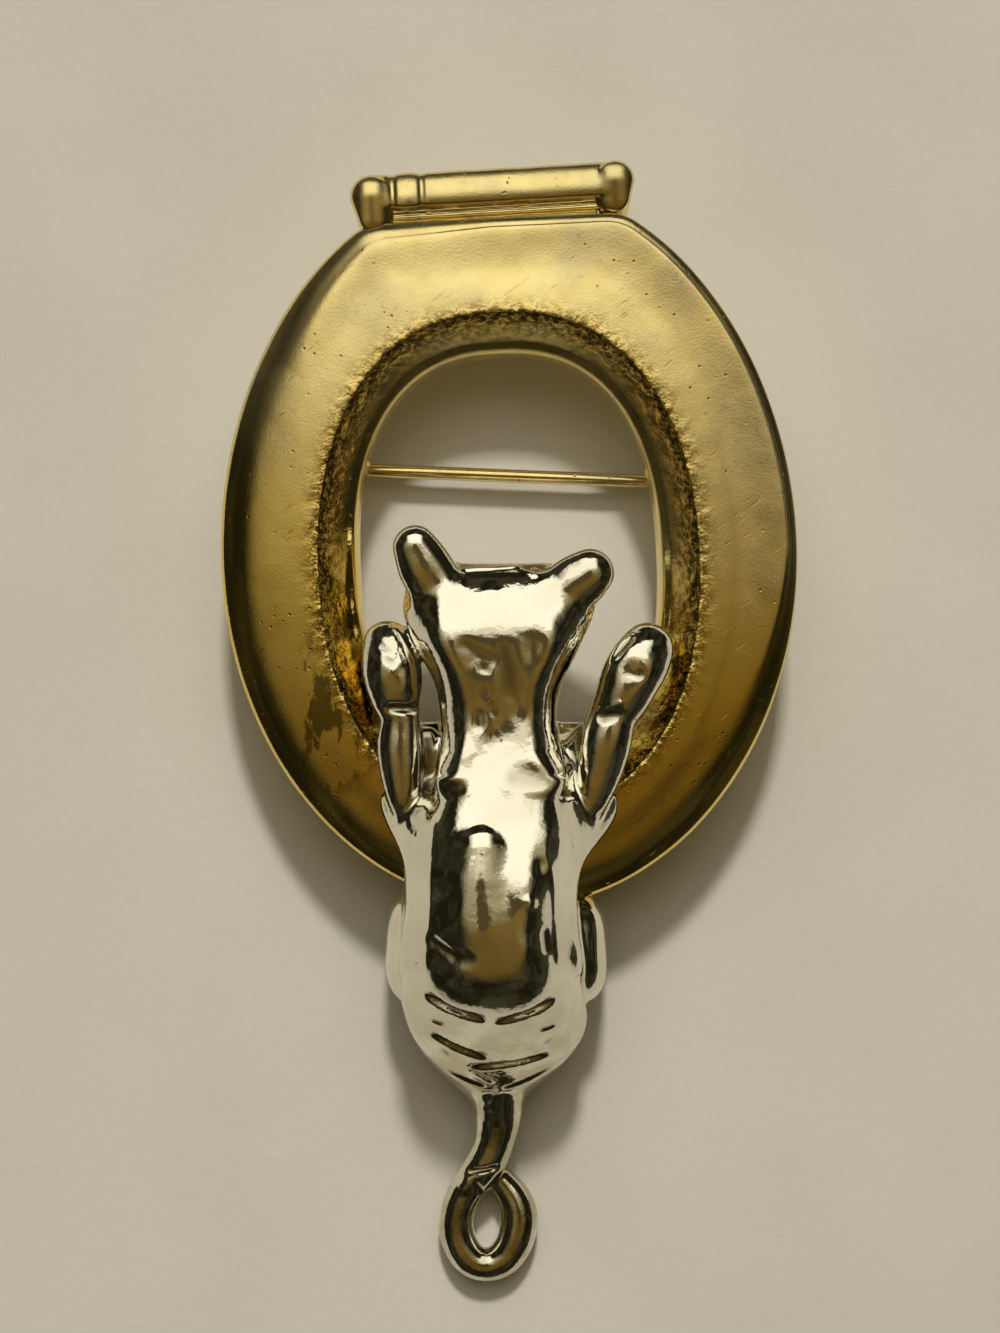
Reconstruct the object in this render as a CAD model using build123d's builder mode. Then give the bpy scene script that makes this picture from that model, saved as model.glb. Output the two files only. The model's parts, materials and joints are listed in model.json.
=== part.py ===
"""A cat brooch: a silver cat climbing over the front of a gold lavatory seat, with a hinged pin behind.

Millimetres. The brooch lies on its back: +Z is up out of its face, +Y runs towards the hinge bar.
The origin is on the surface that it lies on, under the middle of its outline.
"""

import math
import os

from build123d import *

# Seat: one gold casting. The turn is the seat's slant against the cat, as the two castings are joined.
seat_turn = 2.5
seat_half_width = 14.65
seat_rear_length = 19.1
seat_front_length = 18.0
seat_thickness = 3.4
seat_outer_round = 2.3
seat_inner_round = 2.1
rear_trim = 2.0
rear_corner_round = 3.0

# Opening of the seat, a squarish oval.
opening_shift = -0.45
opening_half_width = 7.65
opening_half_length = 10.7
opening_squareness = 2.4
outline_points = 32

# Hinge bar along the seat's rear edge: a bar, a bead on its left and a round lug at each end. Two thin
# ridges lie in the groove between the bar and the ring.
bar_turn = 0.8
bar_length = 14.5
bar_radius = 0.88
bar_edge_round = 0.1
bar_lift = 1.75
bar_gap = 0.85
lug_radius = 0.96
lug_length = 2.1
lug_round = 0.7
lug_overlap = 0.2
bead_radius = 0.93
bead_length = 1.6
bead_round = 0.25
web_thickness = 0.9
web_lift = 0.3
ridge_radius = 0.17
ridge_spacing = 0.36

# Pin findings behind the seat: hinge ears, rivet, pin stem and open catch.
back_height = 3.4
pin_tilt = -2.3
pin_rise = 4.72
ear_radius = 1.2
ear_thickness = 0.45
eye_thickness = 0.9
eye_radius = 0.95
eye_side_gap = 0.06
rivet_radius = 0.38
rivet_gap = 0.03
rivet_head_radius = 0.66
rivet_head_thickness = 0.25
rivet_head_round = 0.12
stem_root_radius = 0.45
stem_root_length = 2.2
stem_radius = 0.35
stem_taper = 3.2
stem_point_radius = 0.06
stem_overrun = 1.85
catch_width = 1.3
catch_bore_radius = 0.55
catch_mouth = 0.7
catch_neck = 1.2
pad_margin = 0.2
pad_thickness = 0.4
pad_corner = 0.4
solder_depth = 0.1

# Cat: one silver casting that saddles the front of the seat and hangs out beyond it.
cat_x = -0.55
cat_overhang = 10.3
spine_length = 28.0
body_half_width = 4.6
cat_rise = 4.8
joint_gap = 0.08
arm_radius = 1.6
ear_base_radius = 1.15
muzzle_radius = 2.0
thigh_radius = 2.0
tail_reach = 9.5
tail_radius = 0.9
tail_loop_x = -1.04
tail_loop_half_width = 1.65
tail_loop_half_length = 2.33
tail_slope = 10

# Sections of the cat from rump to crown, as shares: place along the spine, shift and half width against
# the body's half width, underside and top against the cat's height.
#    along  shift  width  under  top
body_sections = [
    (0.000, 0.00, 0.20, 0.14, 0.26),
    (0.046, -0.04, 0.52, 0.11, 0.42),
    (0.100, -0.02, 0.82, 0.11, 0.60),
    (0.171, -0.01, 0.98, 0.11, 0.80),
    (0.261, -0.06, 1.01, 0.12, 0.97),
    (0.350, -0.08, 0.97, 0.12, 1.00),
    (0.439, -0.08, 0.96, 0.16, 0.98),
    (0.511, -0.05, 1.00, 0.24, 0.93),
    (0.582, -0.01, 0.90, 0.32, 0.88),
    (0.654, 0.00, 0.66, 0.40, 0.79),
    (0.718, 0.01, 0.61, 0.41, 0.76),
    (0.786, 0.01, 0.72, 0.38, 0.80),
    (0.857, 0.01, 0.93, 0.34, 0.87),
    (0.929, 0.01, 1.05, 0.33, 0.89),
    (0.975, 0.01, 0.92, 0.36, 0.85),
    (1.000, 0.01, 0.60, 0.44, 0.77),
]
# Stations of each limb from its root to its tip, as shares: across against the body's half width, along
# against the spine, height against the cat's height, and thickness against the limb's own radius.
#    across  along  height  thick
left_arm = [
    (-0.66, 0.489, 0.66, 1.00),
    (-0.95, 0.589, 0.71, 1.00),
    (-1.05, 0.704, 0.67, 0.91),
    (-1.08, 0.743, 0.65, 0.81),
    (-1.13, 0.811, 0.61, 0.94),
    (-1.16, 0.854, 0.58, 0.62),
]
right_arm = [
    (0.68, 0.496, 0.66, 1.00),
    (0.97, 0.589, 0.71, 1.00),
    (1.21, 0.700, 0.70, 0.84),
    (1.32, 0.739, 0.69, 0.84),
    (1.52, 0.807, 0.68, 1.00),
    (1.65, 0.841, 0.66, 0.69),
]
left_ear = [
    (-0.51, 0.900, 0.72, 1.13),
    (-0.73, 0.961, 0.74, 1.00),
    (-0.91, 1.014, 0.74, 0.83),
    (-0.98, 1.036, 0.74, 0.70),
]
right_ear = [
    (0.53, 0.900, 0.72, 1.13),
    (0.75, 0.939, 0.74, 1.00),
    (0.99, 0.966, 0.74, 0.87),
    (1.12, 0.979, 0.74, 0.74),
]
muzzle = [
    (0.01, 0.854, 0.55, 1.20),
    (0.01, 0.896, 0.43, 1.00),
    (0.01, 0.925, 0.35, 0.70),
]
left_thigh = [
    (-0.73, 0.336, 0.28, 0.75),
    (-0.82, 0.279, 0.28, 1.00),
    (-0.79, 0.218, 0.28, 1.00),
    (-0.66, 0.146, 0.25, 0.70),
]
right_thigh = [
    (0.77, 0.343, 0.28, 0.85),
    (0.82, 0.289, 0.28, 1.00),
    (0.75, 0.218, 0.28, 1.00),
    (0.62, 0.146, 0.25, 0.70),
]
# Stations of the tail from inside the rump to its loop, as shares: across from the cat's middle line to
# the loop's, along from the rump to the loop, height against the seat's back, thickness against the wire.
#    across  along  height  thick
tail_stations = [
    (0.10, -0.47, 0.94, 1.67),
    (0.10, -0.10, 0.79, 1.33),
    (0.20, 0.22, 0.71, 1.11),
    (1.00, 0.57, 0.60, 1.03),
    (2.10, 0.90, 0.51, 0.97),
]

os.makedirs("parts", exist_ok=True)

cat_height = back_height + seat_thickness + cat_rise
pin_axis_z = ear_radius
back_over_pin = back_height - pin_axis_z
bar_angle = math.radians(seat_turn + bar_turn)
rear_edge = seat_rear_length - rear_trim
bar_v = rear_edge + bar_gap + bar_radius

# The seat's middle is set so that the origin lies midway between the bar's end and the tail's end.
rear_reach = bar_v + lug_radius + bar_length / 2 * math.sin(bar_angle)
front_reach = seat_front_length + cat_overhang + tail_reach
seat_centre_y = (front_reach - rear_reach) / 2
rump_y = seat_centre_y - seat_front_length - cat_overhang

# The pin's hinge and catch lie in the middle of the ring's two sides.
outer_there = seat_half_width * math.sqrt(1 - (pin_rise / seat_rear_length) ** 2)
along_there = (pin_rise - opening_shift) / opening_half_length
inner_there = opening_half_width * (1 - along_there**opening_squareness) ** (1 / opening_squareness)
hinge_x = -(outer_there + inner_there) / 2
catch_distance = 2 * abs(hinge_x)
stem_length = catch_distance + stem_overrun
stem_straight = stem_length - stem_taper


def slanted(degrees):
    """A direction in the plane of the brooch, turned from +X."""
    return (math.cos(math.radians(degrees)), math.sin(math.radians(degrees)), 0)


seat_plane = Plane((0, seat_centre_y, back_height), x_dir=slanted(seat_turn), z_dir=(0, 0, 1))
bar_plane = Plane(
    seat_plane.from_local_coords(Vector(0, bar_v, bar_lift)),
    x_dir=slanted(seat_turn + bar_turn),
    z_dir=(0, 0, 1),
)
pin_plane = Plane(
    (hinge_x, seat_centre_y + pin_rise, pin_axis_z), x_dir=slanted(pin_tilt), z_dir=(0, 0, 1)
)
# Seen along the hinge axis: local x runs down the stem and local y is up.
hinge_side = Plane(pin_plane.origin, x_dir=pin_plane.x_dir, z_dir=-pin_plane.y_dir)
# Seen down the stem: local x runs towards the hinge bar and local y is up.
stem_end = Plane(pin_plane.origin, x_dir=pin_plane.y_dir, z_dir=pin_plane.x_dir)


def opening_outline(grow):
    """Points of the opening's squarish oval, with its half sizes grown by grow."""
    points = []
    for step in range(outline_points):
        angle = 2 * math.pi * step / outline_points
        across, along = math.cos(angle), math.sin(angle)
        power = 2 / opening_squareness
        x = math.copysign(abs(across) ** power, across) * (opening_half_width + grow)
        y = math.copysign(abs(along) ** power, along) * (opening_half_length + grow)
        points.append((x, y + opening_shift))
    return points


def seat_ring(gap, below):
    """The rounded ring, swollen by gap and carried down by below, so that it can also cut the saddle."""
    half_width = seat_half_width + gap
    with BuildPart() as ring:
        with BuildSketch(seat_plane.offset(-below)) as outline:
            with BuildLine():
                EllipticalCenterArc((0, 0), half_width, seat_rear_length + gap, 0, arc_size=180)
                EllipticalCenterArc((0, 0), half_width, seat_front_length + gap, 180, arc_size=180)
            make_face()
            with BuildLine():
                Spline(opening_outline(-gap), periodic=True)
            make_face(mode=Mode.SUBTRACT)
            with Locations((0, rear_edge + gap + seat_rear_length / 2)):
                Rectangle(2 * seat_half_width, seat_rear_length, mode=Mode.SUBTRACT)
            fillet(outline.vertices().sort_by(Axis.Y)[-2:], rear_corner_round)
        extrude(amount=seat_thickness + gap + below)
        top = ring.faces().sort_by(Axis.Z)[-1]
        fillet(top.outer_wire().edges(), seat_outer_round + gap)
        top = ring.faces().sort_by(Axis.Z)[-1]
        fillet(top.inner_wires()[0].edges(), seat_inner_round + gap)
    return ring.part


def bar_piece(radius, length, rounding, middle):
    """A round piece on the hinge bar's axis, with its rims rounded."""
    with BuildPart() as piece:
        with BuildSketch(Plane(bar_plane.from_local_coords(Vector(middle, 0, 0)), z_dir=bar_plane.x_dir)):
            Circle(radius)
        extrude(amount=length / 2, both=True)
        fillet(piece.edges().filter_by(GeomType.CIRCLE), rounding)
    return piece.part


def end_lug(side):
    """A round end of the hinge bar that runs down on to the ring's corner."""
    reach = bar_gap + bar_radius + lug_overlap
    outline = Plane(
        bar_plane.from_local_coords(Vector(side * (bar_length - lug_length) / 2, -reach / 2, 0)),
        x_dir=bar_plane.y_dir,
        z_dir=bar_plane.x_dir,
    )
    with BuildPart() as lug:
        with BuildSketch(outline):
            SlotOverall(reach + 2 * lug_radius, 2 * lug_radius)
        extrude(amount=lug_length / 2, both=True)
        fillet(lug.edges(), lug_round)
    return lug.part


def limb(stations):
    """A limb lofted through round sections at its stations, with a round end at the last one."""
    points = [Vector(x, y, z) for x, y, z, _ in stations]
    with BuildPart() as piece:
        for place, point in enumerate(points):
            before, after = points[max(place - 1, 0)], points[min(place + 1, len(points) - 1)]
            with BuildSketch(Plane(point, z_dir=after - before)):
                Circle(stations[place][3])
        loft()
        with Locations(points[-1]):
            Sphere(stations[-1][3])
    return piece.part


def cat_limb(shares, radius):
    """A limb whose stations are given as shares of the cat's sizes."""
    stations = []
    for across, along, height, thick in shares:
        x = cat_x + across * body_half_width
        y = rump_y + along * spine_length
        stations.append((x, y, height * cat_height, thick * radius))
    return limb(stations)


# Seat, with its hinge bar and the soldered pin findings.
ring = seat_ring(0, 0)
bar = bar_piece(bar_radius, bar_length - lug_length, bar_edge_round, 0)
bead = bar_piece(bead_radius, bead_length, bead_round, (bead_length - bar_length) / 2 + lug_length)
lugs = [end_lug(side) for side in (-1, 1)]

with BuildPart() as seat:
    add([ring, bar, bead] + lugs)
    # A thin web joins the bar to the ring's straight rear edge, and carries the two ridges.
    with BuildSketch(seat_plane.offset(web_lift)):
        with Locations((0, rear_edge + bar_gap / 2)):
            Rectangle(bar_length - 2 * lug_length, bar_gap + 2 * bar_radius)
    extrude(amount=web_thickness)
    for side in (-1, 1):
        ridge_v = side * ridge_spacing / 2 - bar_radius - bar_gap / 2
        ridge_middle = Vector(0, ridge_v, web_lift + web_thickness - bar_lift)
        with BuildSketch(Plane(bar_plane.from_local_coords(ridge_middle), z_dir=bar_plane.x_dir)):
            Circle(ridge_radius)
        extrude(amount=bar_length / 2 - lug_length, both=True)
    # Two hinge ears.
    for side in (-1, 1):
        ear_middle = side * (eye_thickness / 2 + eye_side_gap + ear_thickness / 2)
        with BuildSketch(hinge_side.offset(ear_middle)):
            Circle(ear_radius)
            with Locations((0, (back_over_pin + solder_depth) / 2)):
                Rectangle(2 * ear_radius, back_over_pin + solder_depth)
            Circle(rivet_radius + rivet_gap, mode=Mode.SUBTRACT)
        extrude(amount=ear_thickness / 2, both=True)
    # The pads under the hinge and the catch.
    pad_size = 2 * (ear_radius + pad_margin)
    with BuildSketch(pin_plane.offset(back_over_pin - pad_thickness)):
        with Locations((0, 0), (catch_distance, 0)):
            RectangleRounded(pad_size, pad_size, pad_corner)
    extrude(amount=pad_thickness + solder_depth)
    # The open catch: a ring on a neck, with its mouth facing away from the seat.
    with BuildSketch(stem_end.offset(catch_distance)):
        Circle(ear_radius)
        with Locations((0, (back_over_pin + solder_depth) / 2)):
            Rectangle(catch_neck, back_over_pin + solder_depth)
        Circle(catch_bore_radius, mode=Mode.SUBTRACT)
        with Locations((0, -ear_radius)):
            Rectangle(catch_mouth, 2 * ear_radius, mode=Mode.SUBTRACT)
    extrude(amount=catch_width / 2, both=True)

# Pin stem: a flat eye, a root that narrows to the wire, the straight wire and a tapered point.
with BuildPart() as pin_stem:
    with BuildSketch(hinge_side):
        Circle(eye_radius)
    extrude(amount=eye_thickness / 2, both=True)
    with BuildSketch(stem_end):
        Circle(stem_root_radius)
    with BuildSketch(stem_end.offset(stem_root_length)):
        Circle(stem_radius)
    loft()
    with BuildSketch(stem_end.offset(stem_root_length)):
        Circle(stem_radius)
    extrude(amount=stem_straight - stem_root_length)
    with BuildSketch(stem_end.offset(stem_straight)):
        Circle(stem_radius)
    with BuildSketch(stem_end.offset(stem_length)):
        Circle(stem_point_radius)
    loft()
    with BuildSketch(hinge_side):
        Circle(rivet_radius + rivet_gap)
    extrude(amount=eye_thickness, both=True, mode=Mode.SUBTRACT)

# Rivet through both ears and the eye, with a head on each side.
rivet_reach = eye_thickness / 2 + eye_side_gap + ear_thickness + rivet_gap
with BuildPart() as rivet:
    with BuildSketch(hinge_side):
        Circle(rivet_radius)
    extrude(amount=rivet_reach + rivet_head_thickness / 2, both=True)
    for side in (-1, 1):
        with BuildSketch(hinge_side.offset(side * (rivet_reach + rivet_head_thickness / 2))):
            Circle(rivet_head_radius)
        extrude(amount=rivet_head_thickness / 2, both=True)
    rims = rivet.edges().filter_by(GeomType.CIRCLE).sort_by(Axis(pin_plane.origin, pin_plane.y_dir))
    fillet([rims[0], rims[-1]], rivet_head_round)

# Tail: a wire that ends in a closed loop, whose underside rests on the surface.
slope = math.radians(tail_slope)
loop_lift = tail_radius + tail_loop_half_length * math.sin(slope)
loop_end_y = rump_y - tail_reach
loop_y = loop_end_y + tail_radius + tail_loop_half_length * math.cos(slope)
loop_rear_y = loop_y + tail_loop_half_length * math.cos(slope)
loop_plane = Plane(
    (tail_loop_x, loop_y, loop_lift), x_dir=(1, 0, 0), z_dir=(0, -math.sin(slope), math.cos(slope))
)
with BuildPart() as tail_loop:
    with BuildLine(loop_plane) as loop_path:
        EllipticalCenterArc((0, 0), tail_loop_half_width, tail_loop_half_length, 0, arc_size=360)
    with BuildSketch(Plane(loop_path.line @ 0, z_dir=loop_path.line % 0)):
        Circle(tail_radius)
    sweep(path=loop_path.line)
tail_wire = limb(
    [
        (
            cat_x + across * (tail_loop_x - cat_x),
            rump_y + along * (loop_rear_y - rump_y),
            height * back_height,
            thick * tail_radius,
        )
        for across, along, height, thick in tail_stations
    ]
)

# Cat: body, limbs and tail, cut so that it saddles the ring's front.
limbs = [cat_limb(shares, arm_radius) for shares in (left_arm, right_arm)]
limbs += [cat_limb(shares, ear_base_radius) for shares in (left_ear, right_ear)]
limbs += [cat_limb(shares, thigh_radius) for shares in (left_thigh, right_thigh)]
limbs += [cat_limb(muzzle, muzzle_radius), tail_wire, tail_loop.part]
saddle = seat_ring(joint_gap, back_height + seat_thickness)

with BuildPart() as cat:
    for along, shift, width, under, top in body_sections:
        middle = (
            cat_x + shift * body_half_width,
            rump_y + along * spine_length,
            (under + top) / 2 * cat_height,
        )
        with BuildSketch(Plane(middle, x_dir=(1, 0, 0), z_dir=(0, -1, 0))):
            Ellipse(width * body_half_width, (top - under) / 2 * cat_height)
    loft()
    add(limbs)
    add(saddle, mode=Mode.SUBTRACT)

seat.part.label = "seat"
export_step(seat.part, "parts/seat.step")
cat.part.label = "cat"
export_step(cat.part, "parts/cat.step")
pin_stem.part.label = "pin_stem"
export_step(pin_stem.part, "parts/pin_stem.step")
rivet.part.label = "rivet"
export_step(rivet.part, "parts/rivet.step")
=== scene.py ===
import json
import math

import bmesh
import bpy
import numpy as np
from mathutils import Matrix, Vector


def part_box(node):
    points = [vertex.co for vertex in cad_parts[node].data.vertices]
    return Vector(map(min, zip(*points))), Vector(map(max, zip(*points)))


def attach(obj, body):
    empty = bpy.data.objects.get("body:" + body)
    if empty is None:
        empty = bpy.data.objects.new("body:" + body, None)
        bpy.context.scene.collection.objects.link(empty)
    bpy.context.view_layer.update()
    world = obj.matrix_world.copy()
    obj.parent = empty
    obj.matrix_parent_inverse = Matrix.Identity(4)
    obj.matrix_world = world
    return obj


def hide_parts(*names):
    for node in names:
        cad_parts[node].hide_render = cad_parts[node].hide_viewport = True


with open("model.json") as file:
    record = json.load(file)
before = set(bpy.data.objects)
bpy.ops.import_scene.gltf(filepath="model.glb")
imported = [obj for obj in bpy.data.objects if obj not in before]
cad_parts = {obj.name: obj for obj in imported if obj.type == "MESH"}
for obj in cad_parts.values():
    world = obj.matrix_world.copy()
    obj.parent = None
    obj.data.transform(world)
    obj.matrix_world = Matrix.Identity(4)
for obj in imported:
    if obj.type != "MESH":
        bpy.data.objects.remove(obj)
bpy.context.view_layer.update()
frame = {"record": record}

mm = 0.001

# Seat ring. One gold-plated casting: an oval lavatory seat whose top falls gently outwards from a crisp
# crest, with a rough-cast bevel and a thin lip round the opening. Its rear edge is cut straight for the
# hinge bar. Sizes are in millimetres; the ring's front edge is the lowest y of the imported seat.
seat_turn = math.radians(2.5)
seat_half_width = 14.65
seat_rear_length = 19.1
seat_front_length = 18.0
seat_rear_edge = 17.1
seat_corner_blend = 0.5
seat_back = 3.4
opening_shift = -0.45
opening_half_width = 7.65
opening_half_length = 10.7
opening_squareness = 2.4
seat_front_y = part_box("seat")[0][1] / mm
seat_middle_y = seat_front_y + math.hypot(
    seat_front_length * math.cos(seat_turn), seat_half_width * math.sin(seat_turn)
)
cuts_around = 760
cuts_across = 76
cuts_on_bevel = 34
seam_gap = 0.002
casting_wave, wave_size = 0.045, 4.5
bevel_grain, grain_size = 0.22, 0.60

# Towards one side the fall to the rim tightens: by how much at most, in which direction, how wide that
# stretch is, and from which share of the ring's width it starts. The rim's wall stays as it is up to a
# height, and above that the top is drawn up towards the height that its fall starts from.
rim_tightest = 0.68
rim_tight_at = math.radians(46)
rim_tight_spread = 1.4
rim_tight_from = 0.5
rim_upright_to = 1.70
fall_from = 3.02

# The ring's section from the back of the opening up to the crest, and from the crest down to the rim.
# A point lies at a share of the way from the opening to the rim, shifted by so many millimetres.
#    share  shift  height  rough
bevel_section = [
    (0.0, 0.14, 0.00, 0.0),
    (0.0, 0.02, 0.16, 0.0),
    (0.0, 0.00, 1.20, 0.0),
    (0.0, 0.08, 1.74, 0.0),
    (0.0, 0.26, 2.02, 0.1),
    (0.0, 0.48, 2.12, 0.1),
    (0.0, 0.72, 2.28, 0.2),
    (0.0, 1.10, 2.62, 0.4),
    (0.0, 1.50, 2.98, 0.8),
    (0.0, 1.80, 3.24, 1.0),
    (0.0, 1.98, 3.38, 0.9),
]
top_section = [
    (0.0, 2.02, 3.40, 0.8),
    (0.0, 2.50, 3.37, 0.3),
    (0.5, 0.20, 3.21, 0.0),
    (1.0, -2.20, 2.98, 0.0),
    (1.0, -1.50, 2.79, 0.0),
    (1.0, -1.00, 2.60, 0.0),
    (1.0, -0.60, 2.40, 0.0),
    (1.0, -0.30, 2.20, 0.0),
    (1.0, -0.08, 2.03, 0.0),
    (1.0, -0.03, 1.93, 0.0),
    (1.0, -0.02, 1.75, 0.0),
    (1.0, -0.02, 1.00, 0.0),
    (1.0, -0.02, 0.30, 0.0),
    (1.0, -0.05, 0.08, 0.0),
    (1.0, -0.16, 0.00, 0.0),
]


def spline(places, values):
    """A smooth curve through rows of values at rising places, as a function of the place."""
    places, values = np.asarray(places, float), np.asarray(values, float)
    gaps = np.diff(places)
    slopes = np.diff(values, axis=0) / gaps[:, None]
    matrix, right = np.eye(len(places)), np.zeros_like(values)
    for i in range(1, len(places) - 1):
        matrix[i, i - 1 : i + 2] = gaps[i - 1], 2 * (gaps[i - 1] + gaps[i]), gaps[i]
        right[i] = 6 * (slopes[i] - slopes[i - 1])
    bends = np.linalg.solve(matrix, right)

    def at(place):
        place = np.clip(place, places[0], places[-1])
        i = np.clip(np.searchsorted(places, place) - 1, 0, len(gaps) - 1)
        gap = gaps[i][:, None]
        a = (places[i + 1] - place)[:, None] / gap
        b = 1 - a
        bend = (a**3 - a) * bends[i] + (b**3 - b) * bends[i + 1]
        return a * values[i] + b * values[i + 1] + bend * gap**2 / 6

    return at


def section_run(rows, count):
    """Evenly spaced points along a smooth run of section rows."""
    rows = np.array(rows)
    ring_width = seat_half_width - opening_half_width
    flat = np.stack([rows[:, 0] * ring_width + rows[:, 1], rows[:, 2]], 1)
    places = np.concatenate([[0], np.cumsum(np.hypot(*np.diff(flat, axis=0).T))])
    return spline(places, rows)(np.linspace(0, places[-1], count))


def weld(a, b, blend):
    """The union of two distances, with a fillet of about the size of blend."""
    h = np.clip(0.5 + 0.5 * (b - a) / blend, 0, 1)
    return b + (a - b) * h - blend * h * (1 - h)


def carve(a, tool, blend):
    """A distance with a tool's shape cut out of it, its edges softened by blend."""
    return -weld(-a, tool, blend)


def opening_reach(angle):
    """Distance from the opening's middle to its edge, at an angle."""
    across = np.abs(np.cos(angle) / opening_half_width) ** opening_squareness
    along = np.abs(np.sin(angle) / opening_half_length) ** opening_squareness
    return (across + along) ** (-1 / opening_squareness)


def rim_reach(angle):
    """Distance from the opening's middle to the seat's outer edge, at an angle."""
    reaches = []
    for half_length in (seat_rear_length, seat_front_length):
        a = (np.cos(angle) / seat_half_width) ** 2 + (np.sin(angle) / half_length) ** 2
        b = np.sin(angle) * opening_shift / half_length**2
        c = (opening_shift / half_length) ** 2 - 1
        reaches.append((-b + np.sqrt(b * b - a * c)) / a)
    reach = np.where(opening_shift + reaches[0] * np.sin(angle) > 0, *reaches)
    straight = (seat_rear_edge - opening_shift) / np.maximum(np.sin(angle), 0.05)
    return weld(reach, straight, seat_corner_blend)


def on_seat(x, y):
    """Points given along and across the seat, as x and y of the brooch."""
    c, s = math.cos(seat_turn), math.sin(seat_turn)
    return x * c - y * s, x * s + y * c + seat_middle_y


def guide(name, points, **values):
    """A helper object whose bare points a tree reads; it is removed once its piece is made."""
    mesh = bpy.data.meshes.new(name)
    mesh.from_pydata([tuple(p) for p in points], [], [])
    for key, numbers in values.items():
        mesh.attributes.new(key, "FLOAT", "POINT").data.foreach_set("value", numbers)
    made = bpy.data.objects.new(name, mesh)
    bpy.context.scene.collection.objects.link(made)
    return made


def node(tree, kind, inputs=None, **settings):
    """Adds a node. inputs maps a socket's name or number to a value or to another node's socket."""
    made = tree.nodes.new(kind)
    for key, value in settings.items():
        setattr(made, key, value)
    for key, value in (inputs or {}).items():
        if isinstance(value, bpy.types.NodeSocket):
            tree.links.new(value, made.inputs[key])
        else:
            made.inputs[key].default_value = value
    return made


def math_node(tree, operation, *values):
    """A number worked out from numbers."""
    return node(tree, "ShaderNodeMath", dict(enumerate(values)), operation=operation).outputs[0]


def times(tree, a, b):
    """The product of two numbers."""
    return math_node(tree, "MULTIPLY", a, b)


def vector_node(tree, operation, *values):
    """A vector worked out from vectors."""
    made = node(tree, "ShaderNodeVectorMath", dict(enumerate(values)), operation=operation)
    return made.outputs["Vector"]


def scaled(tree, vector, factor):
    """A vector times a number."""
    made = node(tree, "ShaderNodeVectorMath", {0: vector, "Scale": factor}, operation="SCALE")
    return made.outputs["Vector"]


def new_tree(name, sizes):
    """An empty tree of geometry nodes whose inputs are named sizes."""
    tree = bpy.data.node_groups.new(name, "GeometryNodeTree")
    tree.interface.new_socket("Geometry", in_out="INPUT", socket_type="NodeSocketGeometry")
    tree.interface.new_socket("Geometry", in_out="OUTPUT", socket_type="NodeSocketGeometry")
    kinds = {float: "NodeSocketFloat", int: "NodeSocketInt"}
    for key, value in sizes.items():
        kind = kinds.get(type(value), "NodeSocketObject")
        tree.interface.new_socket(key, in_out="INPUT", socket_type=kind)
    return tree, node(tree, "NodeGroupInput").outputs


def finish_tree(tree, geometry, material):
    """Ends a tree: smooth shading, real meshes and the piece's material."""
    smooth = node(tree, "GeometryNodeSetShadeSmooth", {"Geometry": geometry})
    real = node(tree, "GeometryNodeRealizeInstances", {"Geometry": smooth.outputs[0]})
    coated = node(tree, "GeometryNodeSetMaterial", {"Geometry": real.outputs[0]})
    coated.inputs["Material"].default_value = material
    out = node(tree, "NodeGroupOutput")
    tree.links.new(coated.outputs[0], out.inputs[0])


def face_outwards(mesh):
    """Turns a closed mesh's faces outwards."""
    shell = bmesh.new()
    shell.from_mesh(mesh)
    bmesh.ops.recalc_face_normals(shell, faces=shell.faces)
    if shell.calc_volume(signed=True) < 0:
        bmesh.ops.reverse_faces(shell, faces=shell.faces)
    shell.to_mesh(mesh)
    shell.free()


def grow(name, tree, sizes, guides=()):
    """Runs a tree with its sizes and keeps the result as a plain mesh object."""
    made = bpy.data.objects.new(name, bpy.data.meshes.new(name))
    bpy.context.scene.collection.objects.link(made)
    modifier = made.modifiers.new(name, "NODES")
    modifier.node_group = tree
    sockets = {s.name: s.identifier for s in tree.interface.items_tree if s.in_out == "INPUT"}
    for key, value in sizes.items():
        modifier[sockets[key]] = value
    evaluated = made.evaluated_get(bpy.context.evaluated_depsgraph_get())
    plain = bpy.data.meshes.new_from_object(evaluated)
    made.modifiers.remove(modifier)
    made.data = plain
    face_outwards(plain)
    for helper in guides:
        bpy.data.objects.remove(helper)
    return made


def new_material(name):
    """A material with its shader, and its place in the object's own coordinates."""
    material = bpy.data.materials.new(name)
    material.use_nodes = True
    tree = material.node_tree
    shader = tree.nodes["Principled BSDF"]
    place = node(tree, "ShaderNodeTexCoord").outputs["Object"]
    return material, tree, shader, place


def noise(tree, place, size, detail=2.0, roughness=0.5):
    """A cloudy pattern whose patches are about size millimetres across."""
    inputs = {"Vector": place, "Scale": 1 / (size * mm), "Detail": detail, "Roughness": roughness}
    return node(tree, "ShaderNodeTexNoise", inputs).outputs["Fac"]


def remap(tree, value, low, high, to_low=0.0, to_high=1.0):
    """Stretches the stretch from low to high to another one, and holds it at its ends."""
    inputs = {"Value": value, 1: low, 2: high, 3: to_low, 4: to_high}
    return node(tree, "ShaderNodeMapRange", inputs, interpolation_type="SMOOTHSTEP").outputs[0]


def blend_colours(tree, share, first, second):
    """A colour between two colours."""
    made = node(tree, "ShaderNodeMix", {0: share, 6: first, 7: second}, data_type="RGBA")
    return made.outputs[2]


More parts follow.
